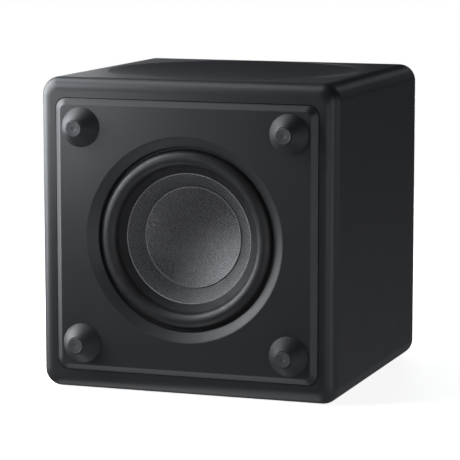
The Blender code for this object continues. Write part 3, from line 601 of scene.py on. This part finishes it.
def rounded(profile, radius, steps=4, closed=False):
    """The same profile with each corner replaced by a short curve of about that radius."""
    points = [Vector(p) for p in profile]
    count = len(points)
    made = []
    for i, point in enumerate(points):
        if not closed and i in (0, count - 1):
            made.append(tuple(point))
            continue
        before = points[i - 1] - point
        after = points[(i + 1) % count] - point
        reach = min(radius, before.length * 0.45, after.length * 0.45)
        start = point + before.normalized() * reach
        end = point + after.normalized() * reach
        for k in range(steps + 1):
            s = k / steps
            curve = start * (1 - s) ** 2 + point * 2 * s * (1 - s) + end * s * s
            made.append(tuple(curve))
    return made


# ---- Cabinet -----------------------------------------------------------------------------------

def cabinet_outline(inset, t):
    corner = EDGE_RADIUS - CORNER_SHRINK * inset
    return outline(HALF_WIDTH - inset, HALF_HEIGHT - inset, corner, t)


def cabinet_rings():
    """Cross-sections of the rounded cube from its front rim to its rear face."""
    rings = []
    steps = 16
    for i in range(steps + 1):
        angle = math.radians(90 * i / steps)
        inset = FRONT_ROUND_WIDTH * (1 - math.sin(angle))
        t = RIM_T + FRONT_ROUND_DEPTH * (1 - math.cos(angle))
        rings.append(cabinet_outline(inset, t))
    for i in range(steps + 1):
        angle = math.radians(90 * i / steps)
        inset = REAR_RADIUS * (1 - math.cos(angle))
        t = BACK_T - REAR_RADIUS * (1 - math.sin(angle))
        rings.append(cabinet_outline(inset, t))
    return rings


def dish_cutter():
    """A shallow spherical cap whose rim turns out softly into the flat face."""
    sphere = (DISH_RADIUS ** 2 + DISH_DEPTH ** 2) / (2 * DISH_DEPTH)
    soft = 2.0
    profile = [(0.0, -DISH_DEPTH)]
    steps = 26
    for i in range(1, steps + 1):
        radius = (DISH_RADIUS - soft) * i / steps
        sink = sphere - DISH_DEPTH - math.sqrt(sphere ** 2 - radius ** 2)
        profile.append((radius, sink))
    slope = math.tan(math.asin((DISH_RADIUS - soft) / sphere))
    last_r, last_t = profile[-1]
    for i in range(1, 6):
        s = i / 5
        profile.append((last_r + soft * s, last_t + slope * soft * (s - 0.45 * s * s)))
    profile += [(DISH_RADIUS + 0.6, 5.0), (0.0, 5.0)]
    middle = (RIM_T + BACK_T) / 2
    cutter = make_piece("cutter", turned(profile, ROUND), None, (0.0, middle, HALF_HEIGHT))
    cutter.rotation_euler = (math.radians(90), 0.0, 0.0)
    return cutter


def make_cabinet(paints):
    shell = make_piece("cabinet", loft(cabinet_rings()), paints["cabinet"])
    cavity_width, cavity_height = HALF_WIDTH - WALL, HALF_HEIGHT - WALL
    rebate_t = BACK_T - REAR_REBATE_DEPTH
    carve(
        shell,
        make_piece("cutter", loft([
            outline(PANEL_HALF + 0.5, PANEL_HALF + 0.5, PANEL_CORNER + 0.5, RIM_T - 0.2),
            outline(PANEL_HALF, PANEL_HALF, PANEL_CORNER, RIM_T + 0.45),
            outline(PANEL_HALF, PANEL_HALF, PANEL_CORNER, LEDGE_T),
        ])),
        make_piece("cutter", slab(cavity_width, cavity_height, 8.0, LEDGE_T + WALL, BACK_T - WALL)),
        make_piece("cutter", disc(
            DRIVER_HOLE_RADIUS, LEDGE_T - 1.0, LEDGE_T + WALL + 1.0, sides=ROUND)),
        make_piece("cutter", slab(
            AMP_OPENING_HALF, AMP_OPENING_HALF, 6.0, BACK_T - WALL - 1.0, rebate_t + 1.0)),
        make_piece("cutter", loft([
            outline(PLATE_REBATE_HALF, PLATE_REBATE_HALF, 8.0, rebate_t),
            outline(PLATE_REBATE_HALF, PLATE_REBATE_HALF, 8.0, BACK_T - 0.6),
            outline(PLATE_REBATE_HALF + 0.7, PLATE_REBATE_HALF + 0.7, 8.7, BACK_T + 0.2),
        ])),
        dish_cutter(),
    )
    keep_flats_flat(shell)
    settle(shell, "cabinet", "cabinet", "cabinet_shell")


# ---- Front panel -------------------------------------------------------------------------------

def make_panel(paints):
    """Raised panel: bevelled edge with a crisp rounded line, and the chamfered well."""
    inside = PANEL_HALF - PANEL_GAP
    edge = [
        (PANEL_TOP_HALF - 0.8, 0.0, PANEL_TOP_CORNER - 0.5),
        (PANEL_TOP_HALF - 0.35, 0.06, PANEL_TOP_CORNER - 0.2),
        (PANEL_TOP_HALF, 0.22, PANEL_TOP_CORNER),
        (PANEL_TOP_HALF + 0.35, 0.48, PANEL_TOP_CORNER + 0.2),
        (PANEL_TOP_HALF + 0.7, 0.80, PANEL_TOP_CORNER + 0.5),
        (inside - 1.6, RIM_T - 1.30, PANEL_CORNER - 1.2),
        (inside - 1.0, RIM_T - 0.72, PANEL_CORNER - 0.8),
        (inside - 0.5, RIM_T - 0.36, PANEL_CORNER - 0.4),
        (inside - 0.12, RIM_T - 0.16, PANEL_CORNER - 0.1),
        (inside, RIM_T + 0.06, PANEL_CORNER),
        (inside, PANEL_BACK_T, PANEL_CORNER),
    ]
    panel = make_piece(
        "front_panel", loft([outline(w, w, corner, t) for w, t, corner in edge]), paints["panel"]
    )
    slope = (WELL_RADIUS - WELL_THROAT_RADIUS) / WELL_CHAMFER_DEPTH
    lead_in = 0.6
    seat_t = WELL_CHAMFER_DEPTH + 1.4
    chamfer = [(WELL_RADIUS + 1.2, -0.05), (WELL_RADIUS + 0.4, 0.06), (WELL_RADIUS - 0.5, 0.42)]
    chamfer += [
        (WELL_THROAT_RADIUS + slope * lead_in, WELL_CHAMFER_DEPTH - lead_in),
        (WELL_THROAT_RADIUS + 0.35, WELL_CHAMFER_DEPTH - 0.12),
        (WELL_THROAT_RADIUS, WELL_CHAMFER_DEPTH + 0.35),
        (WELL_THROAT_RADIUS, seat_t),
        (DRIVER_SEAT_RADIUS, seat_t),
        (DRIVER_SEAT_RADIUS, PANEL_BACK_T + 1.0),
        (0.0, PANEL_BACK_T + 1.0),
    ]
    profile = [(0.0, -1.0), (WELL_RADIUS + 1.2, -1.0)] + chamfer
    carve(panel, make_piece("cutter", turned(profile)))
    keep_flats_flat(panel)
    settle(panel, "cabinet", "panel", "baffle_panel")


# ---- Feet --------------------------------------------------------------------------------------

def make_feet(paints):
    """Four cones with a crisp base ring, a rubber pad in each tip and a dimple in the pad."""
    cone = [
        (FOOT_SCREW_RADIUS, -GAP),
        (FOOT_BASE_RADIUS, -GAP),
        (FOOT_BASE_RADIUS, -GAP - 0.30),
        (FOOT_BASE_RADIUS - 0.3, -GAP - 0.60),
        (FOOT_TIP_RADIUS, FOOT_CONE_TOP_T),
        (FOOT_PAD_RADIUS + 0.2, FOOT_CONE_TOP_T),
        (FOOT_PAD_RADIUS + 0.2, FOOT_PAD_SEAT_T),
        (FOOT_SCREW_SEAT_RADIUS, FOOT_PAD_SEAT_T),
        (FOOT_SCREW_SEAT_RADIUS, FOOT_SCREW_SEAT_T),
        (FOOT_SCREW_RADIUS, FOOT_SCREW_SEAT_T),
    ]
    pad = [
        (0.0, FOOT_PAD_SEAT_T - GAP),
        (FOOT_PAD_RADIUS, FOOT_PAD_SEAT_T - GAP),
        (FOOT_PAD_RADIUS, -FOOT_HEIGHT + 0.35),
        (FOOT_PAD_RADIUS - 0.35, -FOOT_HEIGHT),
        (FOOT_PAD_RADIUS - 0.9, -FOOT_HEIGHT),
        (FOOT_PAD_RADIUS - 1.2, -FOOT_HEIGHT + 0.15),
        (2.2, -FOOT_HEIGHT + 0.15),
        (1.7, -FOOT_HEIGHT + 0.30),
        (1.1, -FOOT_HEIGHT + 0.45),
        (0.0, -FOOT_HEIGHT + 0.50),
    ]
    for corner, sx, sh in CORNERS:
        at = (sx * FOOT_OFFSET, 0.0, sh * FOOT_OFFSET)
        foot_solid = turned(rounded(cone, 0.3, 3, True), FOOT_ROUND)
        foot = make_piece("foot_cone_" + corner, foot_solid, paints["foot"], at)
        settle(foot, "cabinet", "foot", "foot_" + corner)
        tip_solid = turned(rounded(pad, 0.2, 3), SMALL_ROUND)
        tip = make_piece("foot_tip_" + corner, tip_solid, paints["pad"], at)
        settle(tip, "cabinet", "pad", "foot_pad_" + corner)


# ---- Driver ------------------------------------------------------------------------------------

def make_surround(paints):
    """Half-round rubber edge; in the real driver its outer lip stays on the frame and its land moves with
    the cone, but this piece is tied to neither body.
    """
    inner_roll = ROLL_RADIUS - 0.8
    lip_t = ROLL_BASE_T
    profile = [
        (LIP_RADIUS, lip_t + 1.0),
        (LIP_RADIUS, lip_t),
        (68.9, lip_t),
        (68.4, lip_t + 0.35),
        (67.9, lip_t + 0.1),
    ]
    profile += arc(ROLL_CENTRE_RADIUS, lip_t, ROLL_RADIUS, 2, 168, 34)
    profile += [
        (55.0, lip_t - 0.55),
        (54.65, lip_t - 0.05),
        (54.1, lip_t + 0.38),
        (53.3, lip_t + 0.85),
        (50.2, lip_t + 2.55),
        (CONE_OUTER_RADIUS + 0.2, CONE_OUTER_T - 0.05),
        (CONE_OUTER_RADIUS, CONE_OUTER_T + 0.2),
        (CONE_OUTER_RADIUS, CONE_OUTER_T + 0.7),
        (MOVING_RADIUS, lip_t + 1.3),
    ]
    profile += arc(ROLL_CENTRE_RADIUS, lip_t, inner_roll, 178, 2, 20)
    surround = make_piece("rubber_surround", turned(profile, DRIVER_ROUND), paints["rubber"])
    surround.data.materials.append(paints["land"])
    for face in surround.data.polygons:
        middle = Vector((face.center.x, face.center.z))
        if middle.length < LAND_RADIUS * MM:
            face.material_index = 1
    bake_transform(surround)
    blend_by_radius(surround, (ROLL_CENTRE_RADIUS + ROLL_RADIUS) * MM, MOVING_RADIUS * MM)
    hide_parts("surround")


def blend_by_radius(piece, still, moving):
    """Work out the share of the moving body, from 0 at the still radius to 1 at the moving radius; the
    share is not kept or applied.
    """
    points = np.array([v.co for v in piece.data.vertices])
    radius = np.hypot(points[:, 0], points[:, 2] - CENTRE_Z * MM)
    share = np.clip((radius - still) / (moving - still), 0.0, 1.0)
    share = share * share * (3 - 2 * share)


def make_bead(name, radius, t, thickness, bumps, paints):
    """A thin resin bead where woven fibre ends, with a bump at each thread end."""
    mesh_data = bmesh.new()
    around = bumps * 6
    across = 8
    rings = []
    for i in range(around):
        angle = 2 * math.pi * i / around
        size = thickness * (0.6 + 0.4 * math.cos(bumps * angle))
        ring = []
        for k in range(across):
            turn = 2 * math.pi * k / across
            r = radius + size * math.cos(turn)
            depth = t + size * math.sin(turn)
            ring.append(mesh_data.verts.new((r * math.cos(angle), depth, r * math.sin(angle))))
        rings.append(ring)
    for i, a in enumerate(rings):
        b = rings[(i + 1) % around]
        for k in range(across):
            n = (k + 1) % across
            mesh_data.faces.new((a[k], b[k], b[n], a[n]))
    bead = make_piece(name, mesh_data, paints["bead"], sharp_deg=80)
    settle(bead, "diaphragm", "weave")


def make_cone(paints):
    """Woven cone with a gentle curve, and the concave woven dish glued into it."""
    skin = 1.3
    outer = (CONE_OUTER_RADIUS - 0.1, CONE_OUTER_T + 0.75)
    inner = (INNER_DISH_RADIUS, INNER_DISH_T)
    face = [(54.6, 8.9 + 0.3), (CONE_OUTER_RADIUS + 0.2, 11.9)]
    steps = 14
    for i in range(steps + 1):
        s = i / steps
        r = outer[0] + (inner[0] - outer[0]) * s
        t = outer[1] + (inner[1] - outer[1]) * s
        bow = 0.35 * math.sin(math.pi * s)
        face.append((r, t - bow))
    face.append((19.5, 39.0))
    back = [(r, t + skin) for r, t in reversed(face)]
    cone = make_piece("woven_cone", turned(face + back, DRIVER_ROUND), paints["weave"])
    settle(cone, "diaphragm", "weave", "cone")

    edge_t = INNER_DISH_T - 0.9
    face = []
    steps = 40
    edge_radius = INNER_DISH_RADIUS - 0.2
    for i in range(steps + 1):
        radius = edge_radius * (1 - i / steps)
        rise = (radius / INNER_DISH_RADIUS) ** 2
        face.append((radius, edge_t + INNER_DISH_SAG * (1 - rise)))
    back = [(r, t + 0.7) for r, t in reversed(face[1:])]
    rim = [(edge_radius - 0.5, edge_t + 0.7)]
    solid = list(reversed(face)) + rim + list(reversed(back))
    dish = make_piece("woven_dish", turned(solid, DRIVER_ROUND), paints["dish_weave"])
    settle(dish, "diaphragm", "weave", "dust_dish")

    make_bead("cone_edge_bead", outer[0] - 0.15, outer[1] - 0.1, 0.55, 150, paints)
    make_bead("dish_edge_bead", INNER_DISH_RADIUS - 0.15, edge_t - 0.05, 0.45, 120, paints)


def blend_hidden_parts(nodes, paints):
    """Spider and tinsel leads bend between the frame and the coil in the real driver; here a copy with
    its slot's material stands for each, and nothing makes the copies bend.
    """
    for name, still, moving in (
        ("spider", 50.0, 21.0), ("tinsel_lead_left", 76.0, 36.0), ("tinsel_lead_right", 76.0, 36.0)
    ):
        copy = bpy.data.objects.new(name + "_flexing", nodes[name].data.copy())
        bpy.context.scene.collection.objects.link(copy)
        slot = "spider" if name == "spider" else "copper"
        copy.data.materials.clear()
        copy.data.materials.append(paints[slot])
        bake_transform(copy)
        blend_by_radius(copy, still * MM, moving * MM)
        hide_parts(name)


# ---- Rear plate --------------------------------------------------------------------------------

def plate_screw_places():
    for sx in (-1, 0, 1):
        for sh in (-1, 1):
            yield sx * PLATE_SCREW_OFFSET, sh * PLATE_SCREW_OFFSET


def make_rear_plate(paints):
    """Grained plate with softened edges, sunk screw seats and the tray for the connections."""
    face_t = PLATE_BACK_T
    low_t = PLATE_LOW.y / MM - FRONT_Y
    plate_t = face_t - 3.0
    under_t = TRAY_UNDER_T
    edge = [
        (PLATE_HALF, plate_t, 7.6),
        (PLATE_HALF, face_t - 0.6, 7.6),
        (PLATE_HALF - 0.2, face_t - 0.18, 7.4),
        (PLATE_HALF - 0.7, face_t, 6.9),
    ]
    plate = make_piece("rear_plate", loft([outline(w, w, c, t) for w, t, c in edge]), paints["amp"])
    tray_at = (0.0, TRAY_H)
    pan = slab(TRAY_HALF_WIDTH + 2.2, TRAY_HALF_HEIGHT + 2.2, 6.2, under_t, plate_t + 0.5, tray_at)
    posts = bmesh.new()
    for _, sx, sh in CORNERS:
        add_turned(posts, [(0.0, low_t), (3.6, low_t), (3.6, plate_t + 0.5), (0.0, plate_t + 0.5)], 32,
                   (sx * 53.0, sh * 53.0))
    carve(plate, make_piece("cutter", pan), make_piece("cutter", posts), operation="UNION")
    rings = []
    for grow, t in ((-1.2, TRAY_FLOOR_T), (-0.35, TRAY_FLOOR_T + 0.35), (0.0, TRAY_FLOOR_T + 1.2),
                    (0.0, face_t - 0.7), (0.3, face_t - 0.2), (1.1, face_t + 0.1)):
        corner = 4.0 + grow * 0.6
        rings.append(outline(TRAY_HALF_WIDTH + grow, TRAY_HALF_HEIGHT + grow, corner, t, tray_at))
    cutters = [make_piece("cutter", loft(rings))]
    for spot in plate_screw_places():
        seat = [
            (0.0, face_t - 1.9), (3.6, face_t - 1.9), (3.6, face_t - 0.3), (4.1, face_t + 0.1),
            (0.0, face_t + 0.1),
        ]
        cutters.append(make_piece("cutter", turned(seat, 48, spot)))
    socket_hole = slab(12.2, 7.2, 7.0, under_t - 1.0, TRAY_FLOOR_T + 0.5, (INLET_X, TRAY_H))
    cutters.append(make_piece("cutter", socket_hole))
    for x, radius in ((BUTTON_X, 4.4), (LIGHT_X, 2.0)):
        bore = disc(radius, under_t - 1.0, TRAY_FLOOR_T + 0.5, (x, TRAY_H))
        cutters.append(make_piece("cutter", bore))
    carve(plate, *cutters)
    keep_flats_flat(plate)
    settle(plate, "cabinet", "amp", "amp_plate")


def cross_recess(size, low_t, high_t):
    """Two tapered bars that cut a cross-shaped driver recess."""
    bars = []
    for wide, tall in ((size, size * 0.28), (size * 0.28, size)):
        rings = []
        for grow, t in ((0.55, low_t), (1.0, high_t)):
            rings.append(outline(wide * grow, tall * grow, min(wide, tall) * grow * 0.5, t, steps=4))
        bars.append(make_piece("cutter", loft(rings)))
    return bars


def make_plate_screws(paints):
    face_t = PLATE_BACK_T
    head = [
        (0.0, face_t - 12.0), (1.3, face_t - 11.0), (1.3, face_t - 1.6), (3.3, face_t - 1.6),
        (3.3, face_t - 0.55), (2.8, face_t - 0.18), (1.6, face_t - 0.02), (0.0, face_t),
    ]
    first = make_piece("plate_screw_1", turned(rounded(head, 0.15, 2), 48), paints["screw"])
    carve(first, *cross_recess(1.75, face_t - 1.15, face_t + 0.1))
    for i, (x, h) in enumerate(plate_screw_places(), 1):
        screw = first if i == 1 else bpy.data.objects.new(f"plate_screw_{i}", first.data)
        if i > 1:
            bpy.context.scene.collection.objects.link(screw)
        screw.location = place(x, 0.0, h)
        settle(screw, "cabinet", "screw", f"amp_screw_{i}")


def figure_eight(grow, t, centre):
    """Outline of a two-pin inlet: two round ends with a slight waist."""
    points = []
    lobe, reach = 4.4 + grow, 4.2
    steps = 16
    swing = 118
    for sx, start in ((1, -swing), (-1, 180 - swing)):
        for i in range(steps + 1):
            angle = math.radians(start + 2 * swing * i / steps)
            x = centre[0] + sx * reach + lobe * math.cos(angle)
            points.append((x, t, centre[1] + lobe * math.sin(angle)))
    return points


def make_inlet(paints):
    """Two-pin mains inlet with a waisted mouth, a raised collar and round-nosed pins."""
    at = (INLET_X, TRAY_H)
    under_t = TRAY_UNDER_T
    face_t = TRAY_FLOOR_T + 0.9
    low_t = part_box("inlet_socket")[0].y / MM - FRONT_Y
    body = [
        (11.9, 6.9, 6.7, low_t), (11.9, 6.9, 6.7, face_t - 0.5),
        (11.7, 6.7, 6.5, face_t - 0.12), (11.2, 6.2, 6.0, face_t),
    ]
    body_solid = loft([outline(w, h, c, t, at) for w, h, c, t in body])
    socket = make_piece("mains_inlet", body_solid, paints["socket"])
    flange = slab(15.0, 10.0, 2.0, under_t - 2.8, under_t - GAP, at)
    carve(socket, make_piece("cutter", flange), operation="UNION")
    mouth = [
        figure_eight(0.0, MOUTH_FLOOR_T, at),
        figure_eight(0.0, face_t - 0.6, at),
        figure_eight(0.55, face_t + 0.1, at),
    ]
    bores = bmesh.new()
    for sign in (-1, 1):
        spot = (INLET_X + sign * INLET_PIN_REACH, TRAY_H)
        low_t, high_t = PIN_BORE_FLOOR_T, MOUTH_FLOOR_T + 1.0
        add_turned(bores, [(0.0, low_t), (1.5, low_t), (1.5, high_t), (0.0, high_t)], 32, spot)
    carve(socket, make_piece("cutter", loft(mouth)), make_piece("cutter", bores))
    keep_flats_flat(socket)
    settle(socket, "cabinet", "socket", "inlet_socket")

    low_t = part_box("inlet_pin_left")[0].y / MM - FRONT_Y
    profile = [
        (0.0, low_t), (1.2, low_t), (1.2, PIN_TIP_T - 1.2), (1.0, PIN_TIP_T - 0.5),
        (0.55, PIN_TIP_T - 0.1), (0.0, PIN_TIP_T),
    ]
    for side, sign in (("left", -1), ("right", 1)):
        spot = (INLET_X + sign * INLET_PIN_REACH, 0.0, TRAY_H)
        pin = make_piece("contact_pin_" + side, turned(profile, 32), paints["pin"], spot)
        settle(pin, "cabinet", "pin", "inlet_pin_" + side)


def make_controls(paints):
    """Pairing button with a hollowed cap, and the domed end of the light pipe."""
    under_t = TRAY_UNDER_T - GAP
    cap_t = TRAY_FLOOR_T + 1.5
    button = [
        (0.0, under_t - 2.0), (5.5, under_t - 2.0), (5.5, under_t), (4.0, under_t), (4.0, cap_t - 0.5),
        (3.6, cap_t - 0.06), (3.2, cap_t), (2.7, cap_t - 0.08), (1.5, cap_t - 0.30), (0.0, cap_t - 0.38),
    ]
    made = make_piece("pair_button", turned(rounded(button, 0.12, 2), SMALL_ROUND), paints["button"],
                      (BUTTON_X, 0.0, TRAY_H))
    settle(made, "button", "button", "pairing_button")
    low_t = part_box("status_light")[0].y / MM - FRONT_Y
    lens = [
        (0.0, low_t), (1.6, low_t), (1.6, under_t - 1.0), (2.8, under_t - 1.0), (2.8, under_t),
        (1.7, under_t), (1.7, TRAY_FLOOR_T + 0.2), (1.45, TRAY_FLOOR_T + 0.5), (0.9, TRAY_FLOOR_T + 0.66),
        (0.0, TRAY_FLOOR_T + 0.7),
    ]
    made = make_piece("light_pipe_lens", turned(lens, 48), paints["light"], (LIGHT_X, 0.0, TRAY_H))
    settle(made, "cabinet", "light", "status_light")


# ---- Carried-over frame nodes ------------------------------------------------------------------

def paint_frame_nodes(nodes, record, paints):
    """Give every frame node the detailed material of its slot."""
    slots = {part["node"]: part["material_slot"] for part in record["subparts"]}
    for name, node in nodes.items():
        node.data.materials.clear()
        node.data.materials.append(paints[slots[name]])


# ---- Stage -------------------------------------------------------------------------------------

FLOOR_RADIUS = 1.5                              # metres
FLOOR_FADE = (0.25, 1.2)                        # whole within the first radius, gone at the second
FLOOR_DROP = 0.0002                             # below the cabinet, so that the two don't share a plane


def make_floor():
    """A pale round floor that glows a little, fades out at its edge and can be seen from above only."""
    mesh_data = bmesh.new()
    bmesh.ops.create_circle(mesh_data, cap_ends=True, segments=96, radius=FLOOR_RADIUS)
    mesh = bpy.data.meshes.new("floor")
    mesh_data.to_mesh(mesh)
    mesh_data.free()
    floor = bpy.data.objects.new("floor", mesh)
    bpy.context.scene.collection.objects.link(floor)
    floor.location.z = cad_box[0].z - FLOOR_DROP
    paint = Paint("floor_pale", (0.90, 0.90, 0.90), 0.8)
    x, y, _ = paint.axes()
    squares = paint.math("ADD", paint.math("MULTIPLY", x, x), paint.math("MULTIPLY", y, y))
    reach = paint.math("SQRT", squares)
    fade = paint.ramp(reach, 1.0, 0.0, *FLOOR_FADE)
    above = paint.math("SUBTRACT", 1.0, paint.nodes.new("ShaderNodeNewGeometry").outputs["Backfacing"])
    paint.links.new(paint.math("MULTIPLY", fade, above), paint.shader.inputs["Alpha"])
    paint.set(Emission_Color=(1.0, 1.0, 1.0, 1.0), Emission_Strength=0.88)
    mesh.materials.append(paint.material)
    floor.visible_glossy = False
    floor.visible_diffuse = False
    floor.visible_shadow = False


FILL_RIGHT, FILL_FRONT, FILL_ALL = 0.418, 0.13, 0.08
FILL_ABOVE = 0.003


def make_world():
    """White to look at; for what it lights, a glow from below that is stronger to the right and front."""
    world = bpy.data.worlds.new("studio")
    bpy.context.scene.world = world
    world.use_nodes = True
    nodes, links = world.node_tree.nodes, world.node_tree.links

    def math_node(operation, *values):
        node = nodes.new("ShaderNodeMath")
        node.operation = operation
        for socket, value in zip(node.inputs, values):
            if isinstance(value, float):
                socket.default_value = value
            else:
                links.new(value, socket)
        return node.outputs[0]

    seen = nodes["Background"]
    seen.inputs["Color"].default_value = (1.0, 1.0, 1.0, 1.0)
    split = nodes.new("ShaderNodeSeparateXYZ")
    links.new(nodes.new("ShaderNodeTexCoord").outputs["Generated"], split.inputs[0])
    below = nodes.new("ShaderNodeMapRange")
    below.interpolation_type = "SMOOTHSTEP"
    for name, value in (("From Min", -0.3), ("From Max", 0.0), ("To Min", 1.0), ("To Max", 0.0)):
        below.inputs[name].default_value = value
    links.new(split.outputs["Z"], below.inputs["Value"])
    rightward = math_node("MAXIMUM", split.outputs["X"], 0.0)
    forward = math_node("MAXIMUM", math_node("MULTIPLY", split.outputs["Y"], -1.0), 0.0)
    lean = math_node("MULTIPLY_ADD", forward, FILL_FRONT, FILL_ALL)
    lean = math_node("MULTIPLY_ADD", rightward, FILL_RIGHT, lean)
    fill = nodes.new("ShaderNodeBackground")
    fill.inputs["Color"].default_value = (0.95, 0.97, 1.0, 1.0)
    links.new(math_node("MULTIPLY_ADD", lean, below.outputs[0], FILL_ABOVE), fill.inputs["Strength"])
    both = nodes.new("ShaderNodeMixShader")
    links.new(nodes.new("ShaderNodeLightPath").outputs["Is Camera Ray"], both.inputs[0])
    links.new(fill.outputs[0], both.inputs[1])
    links.new(seen.outputs[0], both.inputs[2])
    links.new(both.outputs[0], nodes["World Output"].inputs["Surface"])


MIDDLE = (0.0, 0.0, 0.12)
UPPER_LEFT = (-0.1, -0.1, 0.21)
LIGHTS = [                                      # name, place, target, width, height (m), watts
    ("panel_sheen", (-0.21, -0.36, 0.19), UPPER_LEFT, 0.1, 0.1, 0.172),
    ("corner_left", (-0.35, -0.2, 0.36), (-0.11, -0.1, 0.22), 0.3, 0.3, 1.5),
    ("roll_left", (-0.65, -0.1, 0.14), (-0.1175, -0.1, 0.12), 0.2, 0.35, 0.75),
    ("corner_above", (-0.31, -0.32, 0.46), UPPER_LEFT, 0.2, 0.2, 0.43),
    ("front_left", (-0.6, -0.5, 0.25), MIDDLE, 0.3, 0.3, 0.95),
    ("strip_left", (-0.9, -0.2, 0.4), MIDDLE, 0.3, 0.9, 5.6),
    ("strip_far_left", (-1.2, 0.25, 0.4), MIDDLE, 0.35, 1.1, 2.0),
    ("edge_left", (-0.5, 0.05, 0.3), (-0.1175, 0.0, 0.2), 0.1, 0.4, 1.0),
    ("top", (-0.3, -0.1, 0.9), MIDDLE, 0.6, 0.5, 1.5),
    ("top_left", (-0.45, 0.05, 0.65), (-0.05, 0.0, 0.23), 0.3, 0.3, 1.43),
    ("front_right", (0.42, -0.95, 0.04), MIDDLE, 0.2, 0.06, 0.5),
    ("right", (1.4, -0.9, 0.3), MIDDLE, 0.6, 0.9, 2.1),
    ("right_rear", (1.4, 0.3, 0.3), MIDDLE, 0.6, 0.6, 0.76),
    ("rear_left", (-0.6, 0.7, 0.35), MIDDLE, 0.4, 0.3, 0.58),
    ("rear_far_left", (-0.9, 1.3, 0.35), MIDDLE, 0.9, 0.3, 0.27),
    ("rear_far_right", (0.5, 1.3, 0.4), MIDDLE, 0.8, 0.3, 0.08),
    ("rear_low", (-0.3, 1.3, 0.08), (-0.05, 0.12, 0.12), 0.5, 0.22, 7.0),
    ("rear_above", (0.33, 1.3, 0.72), (0.11, 0.0, 0.23), 0.3, 0.3, 0.17),
    ("dish_rim", (-0.42, 1.3, 0.28), (0.08, 0.0, 0.235), 0.3, 0.06, 0.09),
    ("low_sheen", (0.0, -0.3, -0.19), (0.09, -0.105, 0.02), 0.12, 0.12, 0.06),
    ("under", (-0.15, -0.15, -0.45), (0.0, -0.1, 0.0), 0.5, 0.3, 0.55),
    ("right_low", (0.95, -0.72, -0.14), (0.1, -0.1, 0.03), 0.25, 0.25, 0.45),
]


def soft_light(name, spot, target, width, height, watts):
    """A rectangular soft box that faces the target."""
    light = bpy.data.lights.new(name, "AREA")
    light.shape = "RECTANGLE"
    light.size = width
    light.size_y = height
    light.energy = watts
    light.color = (0.94, 0.97, 1.0)
    made = bpy.data.objects.new(name, light)
    bpy.context.scene.collection.objects.link(made)
    made.location = spot
    made.visible_camera = False
    made.rotation_euler = (Vector(target) - Vector(spot)).to_track_quat("-Z", "Y").to_euler()


def make_lights():
    for row in LIGHTS:
        soft_light(*row)


LENS_MM = 191.08
SENSOR_MM = 36.0
CAMERA_PLACE = (0.6249, -1.7859, 0.3821)
CAMERA_DOWN_DEG = 8.115
CAMERA_TURN_DEG = 19.312


def make_camera():
    """Long lens, a little above the cabinet and to its right."""
    camera = bpy.data.cameras.new("camera")
    camera.lens = LENS_MM
    camera.sensor_width = SENSOR_MM
    made = bpy.data.objects.new("camera", camera)
    bpy.context.scene.collection.objects.link(made)
    made.location = CAMERA_PLACE
    made.rotation_euler = (math.radians(90.0 - CAMERA_DOWN_DEG), 0.0, math.radians(CAMERA_TURN_DEG))
    bpy.context.scene.camera = made


# ---- Build -------------------------------------------------------------------------------------


bpy.context.scene.view_settings.view_transform = "Standard"
all_paints = make_paints()
make_camera()
make_world()
make_lights()
make_floor()
paint_frame_nodes(frame["nodes"], frame["record"], all_paints)
make_cabinet(all_paints)
make_panel(all_paints)
make_feet(all_paints)
make_surround(all_paints)
make_cone(all_paints)
blend_hidden_parts(frame["nodes"], all_paints)
make_rear_plate(all_paints)
make_plate_screws(all_paints)
make_inlet(all_paints)
make_controls(all_paints)
